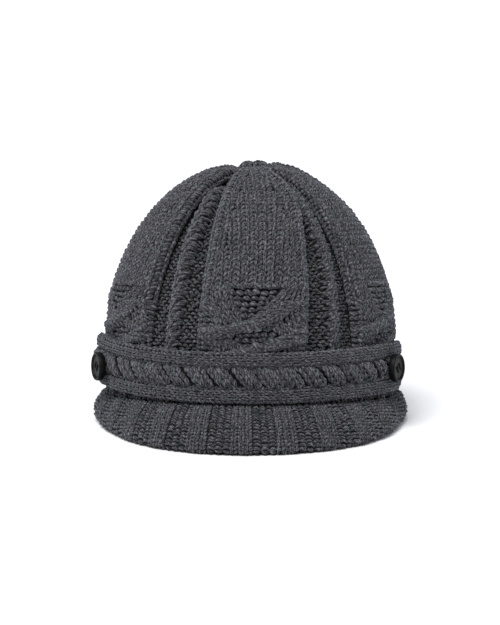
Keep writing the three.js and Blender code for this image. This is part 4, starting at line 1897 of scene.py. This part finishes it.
    def build(self) -> list[bpy.types.Object]:
        """Build and dress the strap: its ground, then its stitches.

        Returns:
            The ground and the stitches.
        """
        ground = lay_ground("strap_ground", self.ground_grid(), self.knitter.ground)
        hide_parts("strap")
        half = self.form.strap_height / 2 + 2.5
        surface = Surface(lambda s, t: self.point(s, t, self.gauge.lift),
                          (-self.end - 2.5, self.end + 2.5), (-half, half), 0.6)
        stitches = StitchField(surface, self.gauge, 500)
        self.knit_edges(stitches)
        self.twist_rope(stitches)
        stitches.fluff(self.fluff)
        return [ground, stitches.mesh("strap_stitches", self.knitter.yarn)]


# Buttons


@dataclass
class Button:
    """Four-hole button with a raised rim, a fine groove inside it and a flat disc."""

    form: CapForm
    finish: bpy.types.Material
    thread: bpy.types.Material
    diameter: float = 18.2
    thickness: float = 4.4
    rim_width: float = 1.8
    dish: float = 0.9
    hole: float = 1.9
    hole_spacing: float = 3.6
    angle: float = 67.0
    rise: float = 0.0
    rope_relief: float = 1.4
    sides: int = 72
    thread_radius: float = 0.32
    thread_depth: float = 3.0

    def turned(self) -> bpy.types.Object:
        """Turn the button's profile about its own axis, and close it.

        Returns:
            The button before its holes.
        """
        radius, top = self.diameter / 2, self.thickness
        inner = radius - self.rim_width
        floor = top - self.dish
        profile = [(0, 0), (radius - 1.2, 0), (radius - 0.3, 0.35), (radius, 1.1),
                   (radius, top - 1.0), (radius - 0.25, top - 0.3), (radius - 0.8, top),
                   (inner + 0.35, top - 0.1), (inner, top - 0.5), (inner - 0.15, floor - 0.25),
                   (inner - 0.55, floor - 0.25), (inner - 0.85, floor), (0, floor + 0.1)]
        deselect()
        bpy.ops.mesh.primitive_plane_add(size=1)
        button = bpy.context.active_object
        mesh = bmesh.new()
        corners = [mesh.verts.new((x * MM, 0, z * MM)) for x, z in profile]
        for low, high in zip(corners, corners[1:]):
            mesh.edges.new((low, high))
        mesh.to_mesh(button.data)
        mesh.free()
        bpy.ops.object.mode_set(mode="EDIT")
        bpy.ops.mesh.select_all(action="SELECT")
        bpy.ops.mesh.spin(steps=self.sides, angle=2 * math.pi, center=(0, 0, 0), axis=(0, 0, 1))
        bpy.ops.mesh.select_all(action="SELECT")
        bpy.ops.mesh.remove_doubles(threshold=0.005 * MM)
        bpy.ops.mesh.normals_make_consistent(inside=False)
        bpy.ops.object.mode_set(mode="OBJECT")
        return button

    def drill(self, button: bpy.types.Object) -> None:
        """Cut the four holes.

        Args:
            button: The turned button.
        """
        reach = self.hole_spacing / 2 * MM
        for x, y in ((1, 1), (-1, 1), (-1, -1), (1, -1)):
            deselect()
            bpy.ops.mesh.primitive_cylinder_add(
                vertices=20, radius=self.hole / 2 * MM, depth=4 * self.thickness * MM,
                location=(x * reach, y * reach, 0))
            drill = bpy.context.active_object
            cut = button.modifiers.new("hole", "BOOLEAN")
            cut.operation, cut.object, cut.solver = "DIFFERENCE", drill, "EXACT"
            deselect()
            button.select_set(True)
            bpy.context.view_layer.objects.active = button
            bpy.ops.object.modifier_apply(modifier=cut.name)
            bpy.data.objects.remove(drill)
        soft = button.modifiers.new("soft_edges", "BEVEL")
        soft.width, soft.segments, soft.limit_method = 0.12 * MM, 2, "ANGLE"
        soft.angle_limit = math.radians(40)
        bpy.ops.object.modifier_apply(modifier=soft.name)

    def seat(self, side: int) -> Matrix:
        """Place of the button on the outside of the strap, with its face turned outward.

        Args:
            side: 1 for the side towards +X and -1 for the other.

        Returns:
            Its place and turn.
        """
        angle = np.array(side * math.radians(self.angle))
        proud = self.form.strap_thickness + self.rope_relief + 2 * self.form.seat_gap
        seat = self.form.strap_place(angle, self.rise, proud)
        outward = self.form.strap_place(angle, self.rise, proud + 1.0) - seat
        turn = Vector((0, 0, 1)).rotation_difference(Vector(outward)).to_matrix().to_4x4()
        turn.translation = Vector(seat * MM)
        return turn

    def sew(self, name: str) -> bpy.types.Object:
        """Make the thread: down through each hole into the strap, and across in two bars.

        Args:
            name: Name of the button.

        Returns:
            The thread.
        """
        reach, low = self.hole_spacing / 2, -self.thread_depth
        high = self.thickness - self.dish + 1.4 * self.thread_radius
        runs = [((x, y, (low + high) / 2), high - low, 0.0)
                for x in (-reach, reach) for y in (-reach, reach)]
        runs += [((0, y, high), 2 * reach, math.pi / 2) for y in (-reach, reach)]
        pieces = []
        for place, length, turn in runs:
            deselect()
            bpy.ops.mesh.primitive_cylinder_add(
                vertices=12, radius=self.thread_radius * MM, depth=length * MM,
                location=Vector(place) * MM, rotation=(0, turn, 0))
            pieces.append(bpy.context.active_object)
        for x in (-reach, reach):
            for y in (-reach, reach):
                deselect()
                bpy.ops.mesh.primitive_uv_sphere_add(
                    segments=12, ring_count=8, radius=self.thread_radius * MM,
                    location=Vector((x, y, high)) * MM)
                pieces.append(bpy.context.active_object)
        deselect()
        for piece in pieces:
            piece.select_set(True)
        bpy.context.view_layer.objects.active = pieces[0]
        bpy.ops.object.join()
        thread = bpy.context.active_object
        bpy.ops.object.transform_apply(location=True, rotation=True, scale=True)
        bpy.ops.object.shade_smooth_by_angle(angle=math.radians(35))
        thread.name = thread.data.name = f"{name}_thread"
        return thread

    def build(self, side: int, name: str) -> list[bpy.types.Object]:
        """Build and dress one button and its thread.

        Args:
            side: 1 for the side towards +X and -1 for the other.
            name: Name of the CAD node that it stands for.

        Returns:
            The button and the thread that holds it.
        """
        button = self.turned()
        self.drill(button)
        button.name = button.data.name = f"{name}_resin"
        deselect()
        button.select_set(True)
        bpy.context.view_layer.objects.active = button
        bpy.ops.object.shade_smooth_by_angle(angle=math.radians(35))
        thread = self.sew(name)
        for piece, finish in ((button, self.finish), (thread, self.thread)):
            piece.data.transform(self.seat(side))
            piece.data.materials.clear()
            piece.data.materials.append(finish)
            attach(piece, "root")
        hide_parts(name)
        return [button, thread]


# Studio


@dataclass
class Studio:
    """Camera, white paper and soft light. Lengths in millimetres, angles in degrees."""

    target: tuple[float, float, float] = (-0.5, 12.4, 67.1)
    distance: float = 1600.0
    azimuth: float = 2.0
    elevation: float = 9.0
    lens: float = 141.8
    floor_metres: float = 90.0
    floor_gap: float = 0.2
    world_light: float = 0.42
    sun_light: float = 2.9
    sun_from: tuple[float, float, float] = (-0.35, -0.75, 1.4)
    sun_softness: float = 38.0
    rim_watts: float = 5.0

    def camera(self) -> bpy.types.Object:
        """Stand the camera where the photograph was taken from.

        Returns:
            The camera.
        """
        azimuth, elevation = math.radians(self.azimuth), math.radians(self.elevation)
        back = Vector((math.sin(azimuth) * math.cos(elevation),
                       -math.cos(azimuth) * math.cos(elevation), math.sin(elevation)))
        data = bpy.data.cameras.new("photo_camera")
        data.lens = self.lens
        data.clip_start, data.clip_end = 0.05, 50
        camera = bpy.data.objects.new("photo_camera", data)
        camera.location = (Vector(self.target) + back * self.distance) * MM
        camera.rotation_mode = "QUATERNION"
        camera.rotation_quaternion = (-back).to_track_quat("-Z", "Y")
        bpy.context.scene.collection.objects.link(camera)
        bpy.context.scene.camera = camera
        return camera

    def paper(self, finish: bpy.types.Material) -> bpy.types.Object:
        """Lay the white paper, wide enough to fill the picture behind the cap.

        Args:
            finish: Material of the paper.

        Returns:
            The sheet.
        """
        deselect()
        bpy.ops.mesh.primitive_plane_add(size=self.floor_metres)
        paper = bpy.context.active_object
        paper.name = "studio_paper"
        bpy.ops.transform.translate(value=(0, 0, -self.floor_gap * MM))
        bpy.ops.object.transform_apply()
        paper.data.materials.append(finish)
        return paper

    def soft_box(self, name: str, place: tuple[float, float, float], size: float,
                 watts: float, tint: str) -> bpy.types.Object:
        """Hang a square soft box at a place in metres, turned to the cap.

        Args:
            name: Name of the light.
            place: Its place in metres.
            size: Its side in metres.
            watts: Its power.
            tint: Its sRGB hex colour.

        Returns:
            The light.
        """
        data = bpy.data.lights.new(name, "AREA")
        data.size, data.energy, data.color = size, watts, linear(tint)[:3]
        light = bpy.data.objects.new(name, data)
        light.location = place
        light.rotation_mode = "QUATERNION"
        light.rotation_quaternion = (Vector((0, 0, 0.08)) - Vector(place)).to_track_quat("-Z", "Y")
        bpy.context.scene.collection.objects.link(light)
        return light

    def light(self) -> None:
        """Set the even room light and the soft boxes."""
        world = bpy.data.worlds.new("white_room")
        world.use_nodes = True
        world.node_tree.nodes.clear()
        room = add_node(world.node_tree, "ShaderNodeBackground", sockets={
            "Color": linear("#ffffff"), "Strength": self.world_light})
        add_node(world.node_tree, "ShaderNodeOutputWorld", {"Surface": room.outputs[0]})
        bpy.context.scene.world = world
        data = bpy.data.lights.new("soft_sun", "SUN")
        data.energy, data.angle = self.sun_light, math.radians(self.sun_softness)
        sun = bpy.data.objects.new("soft_sun", data)
        sun.rotation_mode = "QUATERNION"
        sun.rotation_quaternion = (-Vector(self.sun_from)).to_track_quat("-Z", "Y")
        bpy.context.scene.collection.objects.link(sun)
        self.soft_box("right_soft_box", (1.5, 0.35, 0.9), 1.0, self.rim_watts, "#dfe8ff")
        self.soft_box("left_soft_box", (-1.5, 0.35, 0.9), 1.0, self.rim_watts, "#dfe8ff")


def main() -> None:
    """Build the studio and the cap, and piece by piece."""
    logging.basicConfig(level=logging.INFO, format="%(message)s")
    studio = Studio()
    bpy.context.scene.view_settings.view_transform = "Standard"
    studio.camera()
    studio.paper(PaperFloor().make())
    studio.light()

    band_low, band_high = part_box("rib_band")
    plain = CapForm()
    lean = math.sin(math.radians(plain.lean))
    forward = (band_low.y + band_high.y) / 2 / MM + plain.band_height * lean / 2
    form = CapForm(forward=forward)
    knitter = Knitter(form, Gauge(), HeatherYarn().make(), KNIT_GROUND_SHADE.make())
    for piece in (Crown(knitter), RibBand(knitter), Peak(knitter), Strap(knitter)):
        for made in piece.build():
            made.data.calc_loop_triangles()
            LOG.info("%s: %d triangles", made.name, len(made.data.loop_triangles))
    resin, thread = MOULDED_RESIN.make(), SEWING_THREAD.make()
    for side, name, angle, rise in BUTTONS:
        for made in Button(form, resin, thread, angle=angle, rise=rise).build(side, name):
            LOG.info("%s: %d faces", made.name, len(made.data.polygons))


if __name__ == "__main__":
    main()
